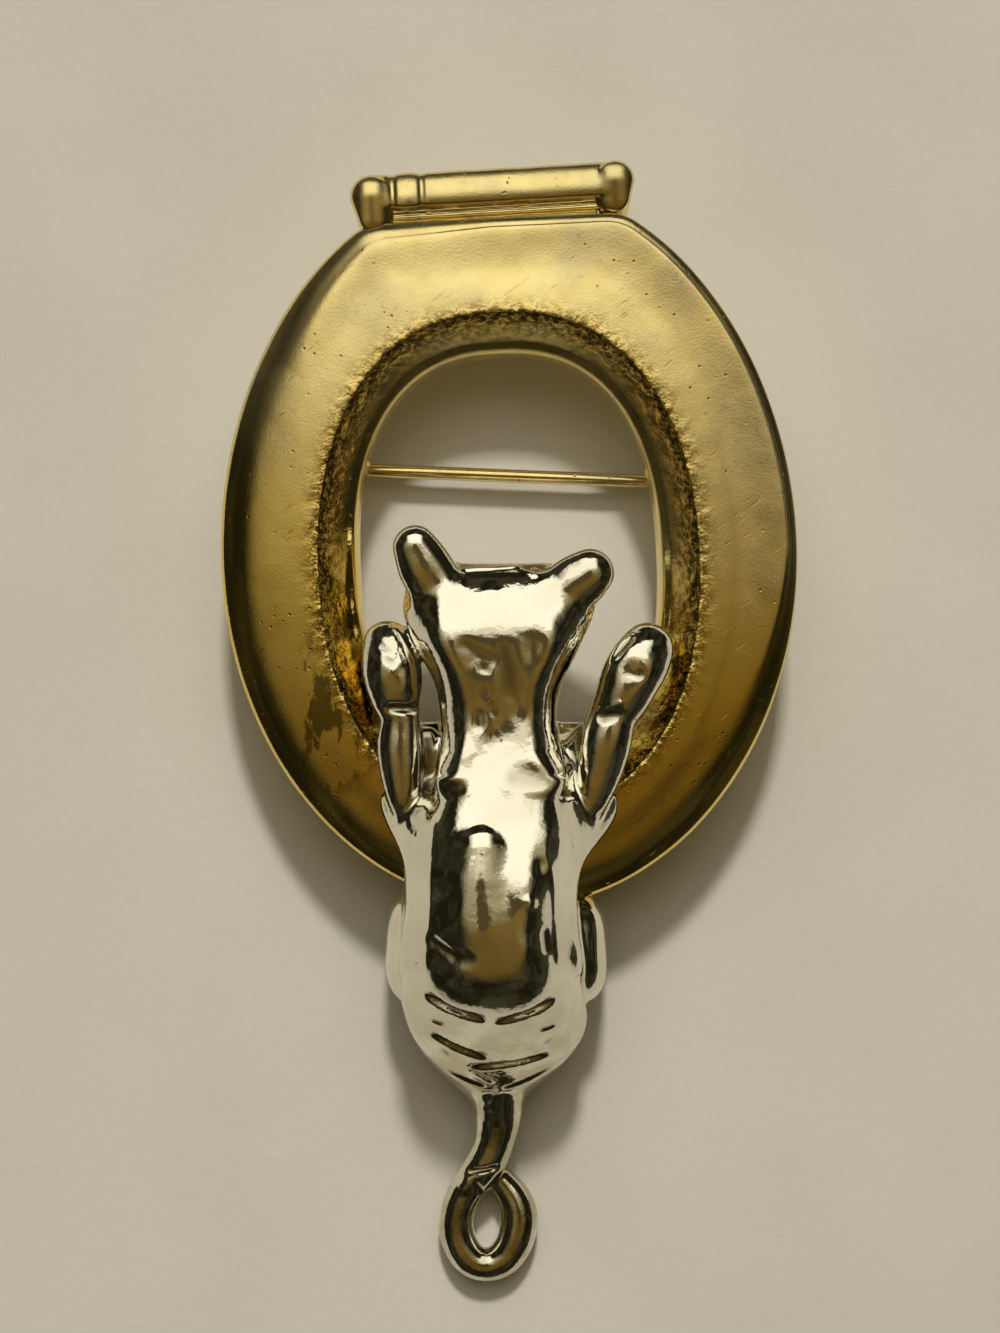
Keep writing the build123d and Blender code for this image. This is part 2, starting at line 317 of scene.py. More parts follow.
# Colours of the gold: two that mingle where it is satin and two where it is polished, then its tarnish and
# stains, what fills its pits, and the tint, specks and smears of the rough cast bevel.
satin_gold = [(0.92, 0.765, 0.375, 1), (0.86, 0.69, 0.30, 1)]
glossy_gold = [(0.93, 0.73, 0.25, 1), (0.88, 0.66, 0.19, 1)]
tarnished_gold = (0.72, 0.61, 0.33, 1)
stained_gold = (0.40, 0.30, 0.11, 1)
pit_dirt = (0.22, 0.15, 0.04, 1)
bevel_gold = (0.90, 0.63, 0.14, 1)
speck_dirt = (0.07, 0.04, 0.008, 1)
smear_dirt = (0.15, 0.12, 0.04, 1)

# The plate is satin towards the hinge end, from one place along the seat to another, and the line between
# satin and polish leans. Smears lie on the bevel in an oval round one place. Handling scratches run at one
# angle and are noise that is stretched along them.
satin_from, satin_full, satin_lean = 4.0, 15.0, 0.35
smears_at, smears_half = (-8.6, 1.2), (2.6, 5.0)
scratch_turn, scratch_stretch = 0.9, 0.05


def rough_cast_bevel(tree, place, colour, height):
    """Adds the bevel's deep tint, specks, smears and ragged grain to a gold and its height."""
    rough = node(tree, "ShaderNodeAttribute", attribute_name="rough").outputs["Fac"]
    grain = noise(tree, place, 0.30, 3.0, 0.6)
    colour = blend_colours(tree, times(tree, rough, 0.65), colour, bevel_gold)
    speck = times(tree, rough, remap(tree, grain, 0.47, 0.56))
    colour = blend_colours(tree, times(tree, speck, 0.85), colour, speck_dirt)
    coordinates = node(tree, "ShaderNodeSeparateXYZ", {0: place}).outputs
    away = []
    for value, middle, half in zip(coordinates, smears_at, smears_half):
        share = math_node(tree, "MULTIPLY_ADD", value, 1 / (half * mm), -middle / half)
        away.append(times(tree, share, share))
    recess = remap(tree, math_node(tree, "ADD", *away), 0.35, 1.1, 1.0, 0.0)
    combed = node(tree, "ShaderNodeMapping", {"Vector": place, "Scale": (1, 0.35, 1)}).outputs[0]
    smears = remap(tree, noise(tree, combed, 1.5, 4.0, 0.6), 0.47, 0.52)
    smears = times(tree, times(tree, smears, recess), 0.85)
    colour = blend_colours(tree, smears, colour, smear_dirt)
    ragged = times(tree, times(tree, rough, grain), 2.5)
    return colour, math_node(tree, "ADD", height, ragged)


def connect_metal(tree, shader, colour, roughness, height, strength, depth):
    """Ends a metal: its colour, its roughness and its relief of so many millimetres."""
    bump = node(tree, "ShaderNodeBump", {"Strength": strength, "Distance": depth * mm, "Height": height})
    tree.links.new(colour, shader.inputs["Base Color"])
    tree.links.new(roughness, shader.inputs["Roughness"])
    tree.links.new(bump.outputs[0], shader.inputs["Normal"])
    shader.inputs["Metallic"].default_value = 1.0


def scattered_pits(tree, place, apart, small, large, among):
    """Pits about so far apart that thin out from large to small, only where a second pattern lets them."""
    cells = node(tree, "ShaderNodeTexVoronoi", {"Vector": place, "Scale": 1 / (apart * mm)})
    pit = remap(tree, cells.outputs["Distance"], small, large, 1.0, 0.0)
    return times(tree, pit, among)


def gold_plate(name, satin, rough_cast=False):
    """Gold plate: pale where it is satin, deeper where it is polished, with fine pits and handling marks.

    satin is the roughness of its dull patches, and rough_cast says that it has a rough attribute.
    """
    material, tree, shader, place = new_material(name)
    patches = remap(tree, noise(tree, place, 2.2, 3.0, 0.5), 0.25, 0.75)
    along = node(tree, "ShaderNodeSeparateXYZ", {0: place}).outputs
    worn = math_node(tree, "MULTIPLY_ADD", along[0], satin_lean, along[1])
    rear = remap(tree, worn, satin_from * mm, satin_full * mm)
    fine = noise(tree, place, 0.14, 2.0)
    pitted = remap(tree, noise(tree, place, 1.9, 3.0), 0.50, 0.60)
    pit = scattered_pits(tree, place, 0.55, 0.06, 0.16, pitted)
    turned = node(tree, "ShaderNodeMapping", {"Vector": place, "Rotation": (0, 0, scratch_turn)})
    along_lines = {"Vector": turned.outputs[0], "Scale": (1, scratch_stretch, 1)}
    lines = noise(tree, node(tree, "ShaderNodeMapping", along_lines).outputs[0], 0.16, 1.0)
    scratch = times(tree, remap(tree, lines, 0.70, 0.74), remap(tree, patches, 0.3, 0.8))
    clouds = remap(tree, noise(tree, place, 4.0, 3.0, 0.6), 0.40, 0.68)
    glossy_colour = blend_colours(tree, patches, *glossy_gold)
    colour = blend_colours(tree, rear, glossy_colour, blend_colours(tree, patches, *satin_gold))
    colour = blend_colours(tree, times(tree, clouds, rear), colour, tarnished_gold)
    stains = times(tree, remap(tree, noise(tree, place, 0.8, 3.0, 0.7), 0.56, 0.70), clouds)
    colour = blend_colours(tree, times(tree, stains, 0.4), colour, stained_gold)
    mark = math_node(tree, "MAXIMUM", times(tree, pit, 0.75), times(tree, scratch, 0.25))
    colour = blend_colours(tree, mark, colour, pit_dirt)
    dull = math_node(tree, "MULTIPLY_ADD", patches, 0.06, satin)
    polish = math_node(tree, "MULTIPLY_ADD", patches, 0.05, 0.06)
    roughness = node(tree, "ShaderNodeMix", {0: rear, 2: polish, 3: dull}, data_type="FLOAT").outputs[0]
    height = math_node(tree, "MULTIPLY_ADD", mark, -0.6, times(tree, fine, 0.16))
    height = math_node(tree, "MULTIPLY_ADD", noise(tree, place, 2.0, 1.0), 0.9, height)
    if rough_cast:
        colour, height = rough_cast_bevel(tree, place, colour, height)
    connect_metal(tree, shader, colour, roughness, height, 0.6, 0.05)
    return material


angles = np.linspace(0, 2 * math.pi, cuts_around, endpoint=False)
tightness = 1 - rim_tightest * np.clip(rim_tight_spread * np.cos(angles - rim_tight_at), 0, 1)
edges = []
for name, reach in (("opening_edge", opening_reach), ("rim_edge", rim_reach)):
    x, y = on_seat(reach(angles) * np.cos(angles), reach(angles) * np.sin(angles) + opening_shift)
    edges.append(guide(name, np.stack([x, y, np.full_like(x, seat_back)], 1) * mm, fall=tightness))
section = np.concatenate([
    section_run(bevel_section, cuts_on_bevel),
    section_run(top_section, cuts_across - cuts_on_bevel),
])
section_guide = guide("ring_section", section[:, :3] * (1, mm, mm), rough=section[:, 3])

ring_sizes = {
    "Opening edge": edges[0],
    "Rim edge": edges[1],
    "Section": section_guide,
    "Cuts around": cuts_around,
    "Cuts across": cuts_across,
    "Casting waviness": casting_wave * mm,
    "Bevel roughness": bevel_grain * mm,
}
tree, sizes = new_tree("seat_ring", ring_sizes)
grid = node(tree, "GeometryNodeMeshGrid", {
    "Size X": 1.0,
    "Size Y": 1.0,
    "Vertices X": math_node(tree, "ADD", sizes["Cuts around"], 1),
    "Vertices Y": math_node(tree, "ADD", sizes["Cuts across"], 1),
})
position = node(tree, "GeometryNodeInputPosition").outputs[0]
shares = node(tree, "ShaderNodeSeparateXYZ", {0: vector_node(tree, "ADD", position, (0.5, 0.5, 0))}).outputs
looked_up = []
for share, count in ((shares[0], sizes["Cuts around"]), (shares[1], sizes["Cuts across"])):
    whole = math_node(tree, "ROUND", times(tree, share, count))
    looked_up.append(math_node(tree, "MODULO", whole, count))
around, across = looked_up


def noted_number(tree, name):
    """A number that each point of a mesh or line holds."""
    return node(tree, "GeometryNodeInputNamedAttribute", {"Name": name}, data_type="FLOAT").outputs[0]


def sampled(source, value, index, kind="FLOAT_VECTOR"):
    """The value that a guide's point holds."""
    geometry = node(tree, "GeometryNodeObjectInfo", {"Object": sizes[source]}).outputs["Geometry"]
    inputs = {"Geometry": geometry, 1: value, 2: index}
    return node(tree, "GeometryNodeSampleIndex", inputs, data_type=kind).outputs[0]


at_opening = sampled("Opening edge", position, around)
at_rim = sampled("Rim edge", position, around)
at_section = sampled("Section", position, across)
rough = sampled("Section", noted_number(tree, "rough"), across, "FLOAT")
fall = sampled("Rim edge", noted_number(tree, "fall"), around, "FLOAT")
share, shift, height = node(tree, "ShaderNodeSeparateXYZ", {0: at_section}).outputs
tight = times(tree, remap(tree, share, rim_tight_from, 1.0), math_node(tree, "SUBTRACT", 1.0, fall))
upright_height = rim_upright_to * mm
tight = times(tree, tight, remap(tree, height, upright_height, upright_height + 0.02 * mm))
shift = times(tree, shift, math_node(tree, "SUBTRACT", 1.0, tight))
raised = math_node(tree, "SUBTRACT", fall_from * mm, height)
height = math_node(tree, "MULTIPLY_ADD", raised, tight, height)
outward = vector_node(tree, "SUBTRACT", at_rim, at_opening)
place = vector_node(tree, "ADD", at_opening, scaled(tree, outward, share))
place = vector_node(tree, "ADD", place, scaled(tree, vector_node(tree, "NORMALIZE", outward), shift))
lift = node(tree, "ShaderNodeCombineXYZ", {2: height}).outputs[0]
noted = node(tree, "GeometryNodeStoreNamedAttribute", {
    "Geometry": grid.outputs[0],
    "Name": "rough",
    "Value": rough,
}, data_type="FLOAT", domain="POINT")
laid = node(tree, "GeometryNodeSetPosition", {
    "Geometry": noted.outputs[0],
    "Position": vector_node(tree, "ADD", place, lift),
})
closed = node(tree, "GeometryNodeMergeByDistance", {0: laid.outputs[0], "Distance": seam_gap * mm})
wave = math_node(tree, "SUBTRACT", noise(tree, position, wave_size, 1.0), 0.5)
drawn = vector_node(tree, "MULTIPLY", position, (1, 0.8, 1))
grain = math_node(tree, "SUBTRACT", noise(tree, drawn, grain_size, 3.0, 0.55), 0.5)
ripple = times(tree, times(tree, grain, noted_number(tree, "rough")), sizes["Bevel roughness"])
relief = math_node(tree, "MULTIPLY_ADD", wave, sizes["Casting waviness"], ripple)
normal = node(tree, "GeometryNodeInputNormal").outputs[0]
waved = node(tree, "GeometryNodeSetPosition", {
    "Geometry": closed.outputs[0],
    "Offset": scaled(tree, normal, relief),
})
ring_gold = gold_plate("ring_gold", 0.21, rough_cast=True)
finish_tree(tree, waved.outputs[0], ring_gold)
seat_ring = grow("seat_ring", tree, ring_sizes, edges + [section_guide])
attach(seat_ring, "brooch")
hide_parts("seat")

# Hinge bar. It is cast in one with the ring: a bar between two round lugs, a bead beside the left lug, and
# a thin web down to the ring's straight edge with two ridges in the groove.
bar_turn = seat_turn + math.radians(0.8)
bar_out = 18.80
bar_lift = 1.55
bar_half_length = 7.25
bar_half_width = 0.90
bar_dome, bar_top, bar_lean = 2.2, 1.08, -0.46
bead_span = (-5.08, -3.60)
bead_swell, bead_spread = 0.05, 0.6
notch_width, notch_depth = 0.18, 0.08
web_reach = 2.10
web_low, web_high = 0.3, 1.98
ridge_places = (-1.06, -1.34)
ridge_radius, ridge_rise = 0.15, 0.02
bar_end_spare, web_end_spare = 1.2, 2.0
bar_edge_round, web_edge_round = 0.16, 0.10
bar_blend, ridge_blend, lug_blend = 0.10, 0.06, 0.12
bar_waves, bar_wave_height = (1.9, 0.83), 0.02
bar_grain = 0.07
lug_dome, lug_edge = 1.6, 0.15
lug_splay, root_splay = 0.98, 0.95
root_radius, root_reach, root_depth, root_blend = 0.7, -2.6, -0.5, 0.3
# The two lugs: place along the bar, places of their two ends across it, half widths there and top. Each
# has a root that joins it to the ring.
lug_rows = [
    (-6.16, -0.22, -1.30, 1.10, 0.86, 1.24),
    (6.24, -0.06, -0.95, 0.98, 0.84, 1.22),
]


def axis_frame(turn):
    """Directions along, across and above a piece that is turned in the plane of the brooch."""
    return np.array([[math.cos(turn), math.sin(turn), 0], [-math.sin(turn), math.cos(turn), 0], [0, 0, 1]])


def capsule(points, start, end, start_radius, end_radius):
    """Distance to a round-ended rod that may taper."""
    start, run = np.asarray(start, float), np.subtract(end, start)
    offset = points - start
    share = np.clip(offset @ run / max(run @ run, 1e-9), 0, 1)
    return np.linalg.norm(offset - share[:, None] * run, axis=1) - (
        start_radius + (end_radius - start_radius) * share
    )


def rounded(parts, rounding):
    """Distance from the signed distances to a block's or disc's sides, with rounded edges."""
    parts = np.stack(parts) + rounding
    return np.minimum(parts.max(0), 0) + np.linalg.norm(np.maximum(parts, 0), axis=0) - rounding


def turned_disc(points, middle, radius, half_length, rounding, axis=0):
    """Distance to a round piece on one of the points' own axes."""
    offset = points - np.asarray(middle, float)
    side = np.linalg.norm(np.delete(offset, axis, 1), axis=1) - radius
    return rounded([side, np.abs(offset[:, axis]) - half_length], rounding)


def block(points, low, high, rounding):
    """Distance to a block between two corners."""
    low, high = np.asarray(low, float), np.asarray(high, float)
    offset = np.abs(points - (low + high) / 2) - (high - low) / 2
    return rounded(list(offset.T), rounding)


def sampled_shape(shape, low, high, grain):
    """A shape's distances on a grid: exact near its skin, and one value for a whole block elsewhere."""
    step = 4
    counts = (np.ceil((high - low) / grain / step).astype(int) + 1) * step
    coarse_axes = [low[i] + grain * step * np.arange(counts[i] // step) for i in range(3)]
    coarse = np.stack(np.meshgrid(*coarse_axes, indexing="ij"), -1)
    field = shape(coarse.reshape(-1, 3)).reshape(coarse.shape[:3])
    near_skin = np.abs(field) < grain * step * 2.0
    for axis in range(3):
        near_skin = near_skin | np.roll(near_skin, 1, axis) | np.roll(near_skin, -1, axis)
    for axis in range(3):
        field, near_skin = np.repeat(field, step, axis), np.repeat(near_skin, step, axis)
    field[near_skin] = shape(low + grain * np.argwhere(near_skin))
    return field


def skin_points(field):
    """A point in each cell that the skin passes through, in cells, and the number of each cell's point."""
    inside = field < 0
    corners = [(i, j, k) for i in (0, 1) for j in (0, 1) for k in (0, 1)]
    size = np.array(field.shape) - 1
    filled = np.zeros(size, np.int8)
    for i, j, k in corners:
        filled += inside[i : i + size[0], j : j + size[1], k : k + size[2]]
    cells = np.argwhere((filled > 0) & (filled < 8))
    number = np.full(size, -1, np.int64)
    number[tuple(cells.T)] = np.arange(len(cells))
    corner_values = {c: field[tuple((cells + c).T)] for c in corners}
    total, hits = np.zeros((len(cells), 3)), np.zeros(len(cells))
    for c in corners:
        for axis in range(3):
            if c[axis]:
                continue
            other = tuple(1 if i == axis else c[i] for i in range(3))
            a, b = corner_values[c], corner_values[other]
            crossed = (a < 0) != (b < 0)
            share = np.where(crossed, a / np.where(crossed, a - b, 1), 0)
            point = np.tile(np.array(c, float), (len(cells), 1))
            point[:, axis] += share
            total += point * crossed[:, None]
            hits += crossed
    return cells + total / hits[:, None], number


def steepness(shape, points, probe):
    """How a shape's distance rises along each axis at some points."""
    return np.stack([
        (shape(points + probe * axis) - shape(points - probe * axis)) / (2 * probe) for axis in np.eye(3)
    ], 1)


def skin_faces(inside, number):
    """A face with four corners for each line of the grid that the skin crosses."""
    faces = []
    for axis in range(3):
        b, c = [i for i in range(3) if i != axis]
        near_end = np.take(inside, range(0, inside.shape[axis] - 1), axis)
        far_end = np.take(inside, range(1, inside.shape[axis]), axis)
        crossed = np.argwhere(near_end != far_end)
        keep = (crossed[:, b] > 0) & (crossed[:, c] > 0)
        keep &= (crossed[:, b] < number.shape[b]) & (crossed[:, c] < number.shape[c])
        crossed = crossed[keep]
        loop = []
        for db, dc in ((-1, -1), (0, -1), (0, 0), (-1, 0)):
            cell = crossed.copy()
            cell[:, b] += db
            cell[:, c] += dc
            loop.append(number[tuple(cell.T)])
        quads = np.stack(loop, 1)
        leaves = near_end[tuple(crossed.T)]
        flip = leaves if axis == 1 else ~leaves
        quads[flip] = quads[flip][:, ::-1]
        faces.append(quads)
    return np.concatenate(faces)


def cast(name, shape, low, high, grain, material, **masks):
    """Makes the closed skin of a casting, whose shape is a distance that is below 0 inside the metal.

    The skin is found on a grid of cells as fine as grain, then drawn on to the shape itself. masks are
    functions of the points that are kept as attributes for the material.
    """
    low, high = np.asarray(low, float), np.asarray(high, float)
    field = sampled_shape(shape, low, high, grain)
    points, number = skin_points(field)
    vertices = low + grain * points
    for _ in range(2):
        slope = steepness(shape, vertices, grain * 0.3)
        pull = shape(vertices) / np.maximum((slope**2).sum(1), 0.05)
        vertices -= slope * np.clip(pull, -grain / 2, grain / 2)[:, None]
    mesh = bpy.data.meshes.new(name)
    mesh.from_pydata((vertices * mm).tolist(), [], skin_faces(field < 0, number).tolist())
    mesh.shade_smooth()
    mesh.materials.append(material)
    for key, mask in masks.items():
        kept = mesh.attributes.new(key, "FLOAT", "POINT")
        kept.data.foreach_set("value", mask(vertices).astype(np.float32))
    made = bpy.data.objects.new(name, mesh)
    bpy.context.scene.collection.objects.link(made)
    face_outwards(mesh)
    return made


bar_frame = axis_frame(bar_turn)
bar_middle = np.array([*on_seat(0, bar_out), seat_back + bar_lift])


def hinge_bar_shape(points):
    """The bar, its bead, lugs, web and ridges."""
    local = (points - bar_middle) @ bar_frame.T
    along = local[:, 0]
    dome = np.hypot(local[:, 1] - bar_lean, local[:, 2] - bar_top + bar_dome) - bar_dome
    bead_middle, bead_half = sum(bead_span) / 2, (bead_span[1] - bead_span[0]) / 2
    swell = bead_swell * np.exp(-(((along - bead_middle) / bead_half / bead_spread) ** 2))
    for place in bead_span:
        swell -= notch_depth * np.exp(-(((along - place) / notch_width) ** 2))
    wall = np.maximum(np.abs(local[:, 1]) - bar_half_width, web_low - bar_lift - local[:, 2])
    ends = np.abs(along) - bar_half_length + bar_end_spare
    shape = rounded([dome - swell, wall - swell * 0.6, ends], bar_edge_round)
    inner, foot, top = bar_half_length - web_end_spare, web_low - bar_lift, web_high - bar_lift
    web = block(local, (-inner, -web_reach, foot), (inner, 0, top), web_edge_round)
    shape = weld(shape, web, bar_blend)
    for across in ridge_places:
        start, end = (-inner, across, top + ridge_rise), (inner, across, top + ridge_rise)
        shape = weld(shape, capsule(local, start, end, ridge_radius, ridge_radius), ridge_blend)
    for middle, upper, lower, half, lower_half, height in lug_rows:
        sunk = height - lug_dome
        dome = capsule(local, (middle, upper, sunk), (middle, lower, sunk - 0.1), lug_dome, lug_dome)
        start, end = (middle, upper, 0), (middle * lug_splay, lower, 0)
        wall = capsule(local * (1, 1, 0), start, end, half, lower_half)
        lug = rounded([dome, wall, foot - local[:, 2]], lug_edge)
        start, end = (middle, lower, root_depth), (middle * root_splay, root_reach, root_depth)
        root = capsule(local, start, end, root_radius, root_radius)
        shape = weld(shape, weld(lug, root, root_blend), lug_blend)
    waves = np.sin(points[:, 0] * bar_waves[0]) * np.sin(points[:, 0] * bar_waves[1] + 1)
    return shape + waves * bar_wave_height


bar_gold = gold_plate("bar_gold", 0.20)
# The box that the bar's skin is looked for in.
bar_low = bar_middle - (bar_half_length + 0.4, 3.7, 1.8)
bar_high = bar_middle + (bar_half_length + 0.4, 1.6, 1.6)
hinge_bar = cast("hinge_bar", hinge_bar_shape, bar_low, bar_high, bar_grain, bar_gold)
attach(hinge_bar, "brooch")

# Pin findings. Two brass pads are soldered to the back of the ring: one carries the two hinge ears, and
# the other the open catch, a ring on a neck whose mouth faces away from the seat.
joint = frame["record"]["behaviour"]["joints"][0]
hinge_at = np.array(joint["pos_m"]) / mm
pin_turn = math.atan2(joint["axis"][1], joint["axis"][0]) - math.pi / 2
pin_frame = axis_frame(pin_turn)
catch_away = 21.258
pad_half = 1.4
pad_thickness = 0.4
sunk_in_seat = 0.1
ear_radius = 1.2
ear_thickness = 0.45
eye_thickness = 0.9
eye_gap = 0.06
ear_bore = 0.41
catch_half_width = 0.65
catch_bore = 0.55
catch_mouth = 0.7
catch_neck = 1.2
finding_round, neck_round, mouth_round = 0.08, 0.05, 0.08
finding_grain = 0.06
solder_fillet = 0.15


def findings_shape(points):
    """Both pads with the ears and the catch."""
    local = (points - hinge_at) @ pin_frame.T
    back = seat_back - hinge_at[2]
    shape = np.full(len(points), 1e3)
    for along in (0, catch_away):
        low = (along - pad_half, -pad_half, back - pad_thickness)
        high = (along + pad_half, pad_half, back + sunk_in_seat)
        shape = np.minimum(shape, block(local, low, high, finding_round))
    ear_half = ear_thickness / 2
    ear_middle = eye_thickness / 2 + eye_gap + ear_half
    upright = local.copy()
    upright[:, 2] -= np.clip(upright[:, 2], 0, back)
    for side in (-1, 1):
        ear = turned_disc(upright, (0, side * ear_middle, 0), ear_radius, ear_half, finding_round, axis=1)
        shape = weld(shape, ear, solder_fillet)
    shape = np.maximum(shape, ear_bore - np.hypot(local[:, 0], local[:, 2]))
    shape = np.maximum(shape, local[:, 2] - back - sunk_in_seat)
    at_catch = local - (catch_away, 0, 0)
    hook = turned_disc(at_catch, (0, 0, 0), ear_radius, catch_half_width, finding_round)
    low, high = (-catch_half_width, -catch_neck / 2, 0), (catch_half_width, catch_neck / 2, back)
    neck = block(at_catch, low, high, neck_round)
    shape = weld(shape, weld(hook, neck, solder_fillet), solder_fillet)
    bore = catch_bore - np.hypot(at_catch[:, 1], at_catch[:, 2])
    mouth = block(at_catch, (-2, -catch_mouth / 2, -2), (2, catch_mouth / 2, 0), neck_round)
    return carve(np.maximum(shape, bore), mouth, mouth_round)


findings_gold = gold_plate("findings_gold", 0.24)
ends = hinge_at + np.array([[0, 0, 0], [catch_away, 0, 0]]) @ pin_frame
findings_low, findings_high = ends.min(0) - (1.8, 1.8, 1.4), ends.max(0) + (1.8, 1.8, 2.6)
findings = cast(
    "pin_findings", findings_shape, findings_low, findings_high, finding_grain, findings_gold
)
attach(findings, "brooch")

# Rivet. A gilt brass pin through both ears and the stem's eye. It is cut from wire, and its two ends are
# hammered over into low heads that hold the ears together and leave the stem free to turn.
rivet_radius = 0.38
rivet_half_length = 1.24
rivet_head_radius = 0.66
rivet_spare = 0.01
turned_sides = 40


def wire_guide(name, stations):
    """An open line of points that each hold the radius of the round piece there."""
    made = guide(name, [s[:3] for s in stations], thickness=[s[3] for s in stations])
    mesh = made.data
    mesh.edges.add(len(stations) - 1)
    mesh.edges.foreach_set("vertices", [n for i in range(len(stations) - 1) for n in (i, i + 1)])
    return made


def turned_tree(name, sizes):
    """A tree that turns a round piece along a line and closes its ends."""
    tree, inputs = new_tree(name, sizes)
    line = node(tree, "GeometryNodeObjectInfo", {"Object": inputs["Line"]}).outputs["Geometry"]
    curve = node(tree, "GeometryNodeMeshToCurve", {0: line}).outputs[0]
    circle = node(tree, "GeometryNodeCurvePrimitiveCircle", {"Resolution": inputs["Sides"], "Radius": 1.0})
    swept = node(tree, "GeometryNodeCurveToMesh", {
        "Curve": curve,
        "Profile Curve": circle.outputs[0],
        "Scale": noted_number(tree, "thickness"),
        "Fill Caps": True,
    })
    return tree, inputs, swept.outputs[0]


def along_axis(axis, run):
    """Stations on an axis of the pin, from rows of place and radius."""
    return [(*((hinge_at + along * pin_frame[axis]) * mm), radius * mm) for along, radius in run]


head_run = [
    # along  radius
    (0.000, 0.15),
    (0.010, 0.40),
    (0.045, 0.58),
    (0.110, rivet_head_radius),
    (0.210, rivet_head_radius),
    (0.250, 0.62),
    (0.255, rivet_radius),
]
left_end = [(-rivet_half_length - rivet_spare + along, radius) for along, radius in head_run]
right_end = [(-along, radius) for along, radius in reversed(left_end)]
rivet_line = wire_guide("rivet_line", along_axis(1, left_end + right_end))
rivet_brass = gold_plate("rivet_brass", 0.22)
rivet_sizes = {"Line": rivet_line, "Sides": turned_sides}
tree, sizes, turned = turned_tree("rivet", rivet_sizes)
finish_tree(tree, turned, rivet_brass)
rivet = grow("hinge_rivet", tree, rivet_sizes, [rivet_line])
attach(rivet, "brooch")
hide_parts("rivet")

# Pin stem. Hard-drawn brass wire, gilt like the rest: a flat eye that turns on the rivet, a swollen root,
# the straight wire and a ground point. Its light end rests in the catch.
stem_run = [
    # along  radius
    (0.62, 0.45),
    (1.00, 0.42),
    (1.60, 0.37),
    (2.20, 0.35),
    (8.00, 0.35),
    (14.00, 0.35),
    (19.90, 0.35),
    (20.70, 0.30),
    (21.50, 0.22),
    (22.30, 0.145),
    (22.90, 0.085),
    (23.09, 0.05),
]
eye_radius = 0.95
eye_hole = 0.41
eye_edge_round = 0.12

stem_line = wire_guide("stem_line", along_axis(0, stem_run))
stem_brass = gold_plate("stem_brass", 0.16)
stem_sizes = {
    "Line": stem_line,
    "Sides": turned_sides,
    "Eye radius": eye_radius * mm,
    "Eye hole": eye_hole * mm,
    "Eye thickness": eye_thickness * mm,
    "Edge round": eye_edge_round * mm,
}
tree, sizes, wire = turned_tree("pin_stem", stem_sizes)
middle = times(tree, math_node(tree, "ADD", sizes["Eye radius"], sizes["Eye hole"]), 0.5)
wall = math_node(tree, "SUBTRACT", sizes["Eye radius"], sizes["Eye hole"])
path = node(tree, "GeometryNodeCurvePrimitiveCircle", {"Resolution": 64, "Radius": middle})
eye_section = node(tree, "GeometryNodeCurvePrimitiveQuadrilateral", {
    "Width": wall,
    "Height": sizes["Eye thickness"],
})
softened = node(tree, "GeometryNodeFilletCurve", {
    "Curve": eye_section.outputs[0],
    "Count": 4,
    "Radius": sizes["Edge round"],
}, mode="POLY")
eye = node(tree, "GeometryNodeCurveToMesh", {
    "Curve": path.outputs[0],
    "Profile Curve": softened.outputs[0],
})
stood = node(tree, "GeometryNodeTransform", {
    "Geometry": eye.outputs[0],
    "Translation": tuple(hinge_at * mm),
    "Rotation": (math.pi / 2, 0, pin_turn),
})
joined = node(tree, "GeometryNodeJoinGeometry")
tree.links.new(stood.outputs[0], joined.inputs[0])
tree.links.new(wire, joined.inputs[0])
finish_tree(tree, joined.outputs[0], stem_brass)
stem = grow("pin_wire", tree, stem_sizes, [stem_line])
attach(stem, "stem")
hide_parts("pin_stem")

# Cat. One silver-plated casting that saddles the front of the seat: a body with its head down over the
# opening, two ears, two forelegs with their paws on the crest, two haunches that reach down outside the
# rim, and a tail that ends in a closed loop. Everything is modelled in wax, so it is soft and lumpy.
cat_grain = 0.142
cat_floor = 0.02

# The saddle: its gap to the ring, the softness of its edge, and the box that it is cut in.
seat_gap, saddle_round = 0.05, 0.05
saddle_low, saddle_high = (-7.5, -9.6, 0), (8.3, 9, 7)

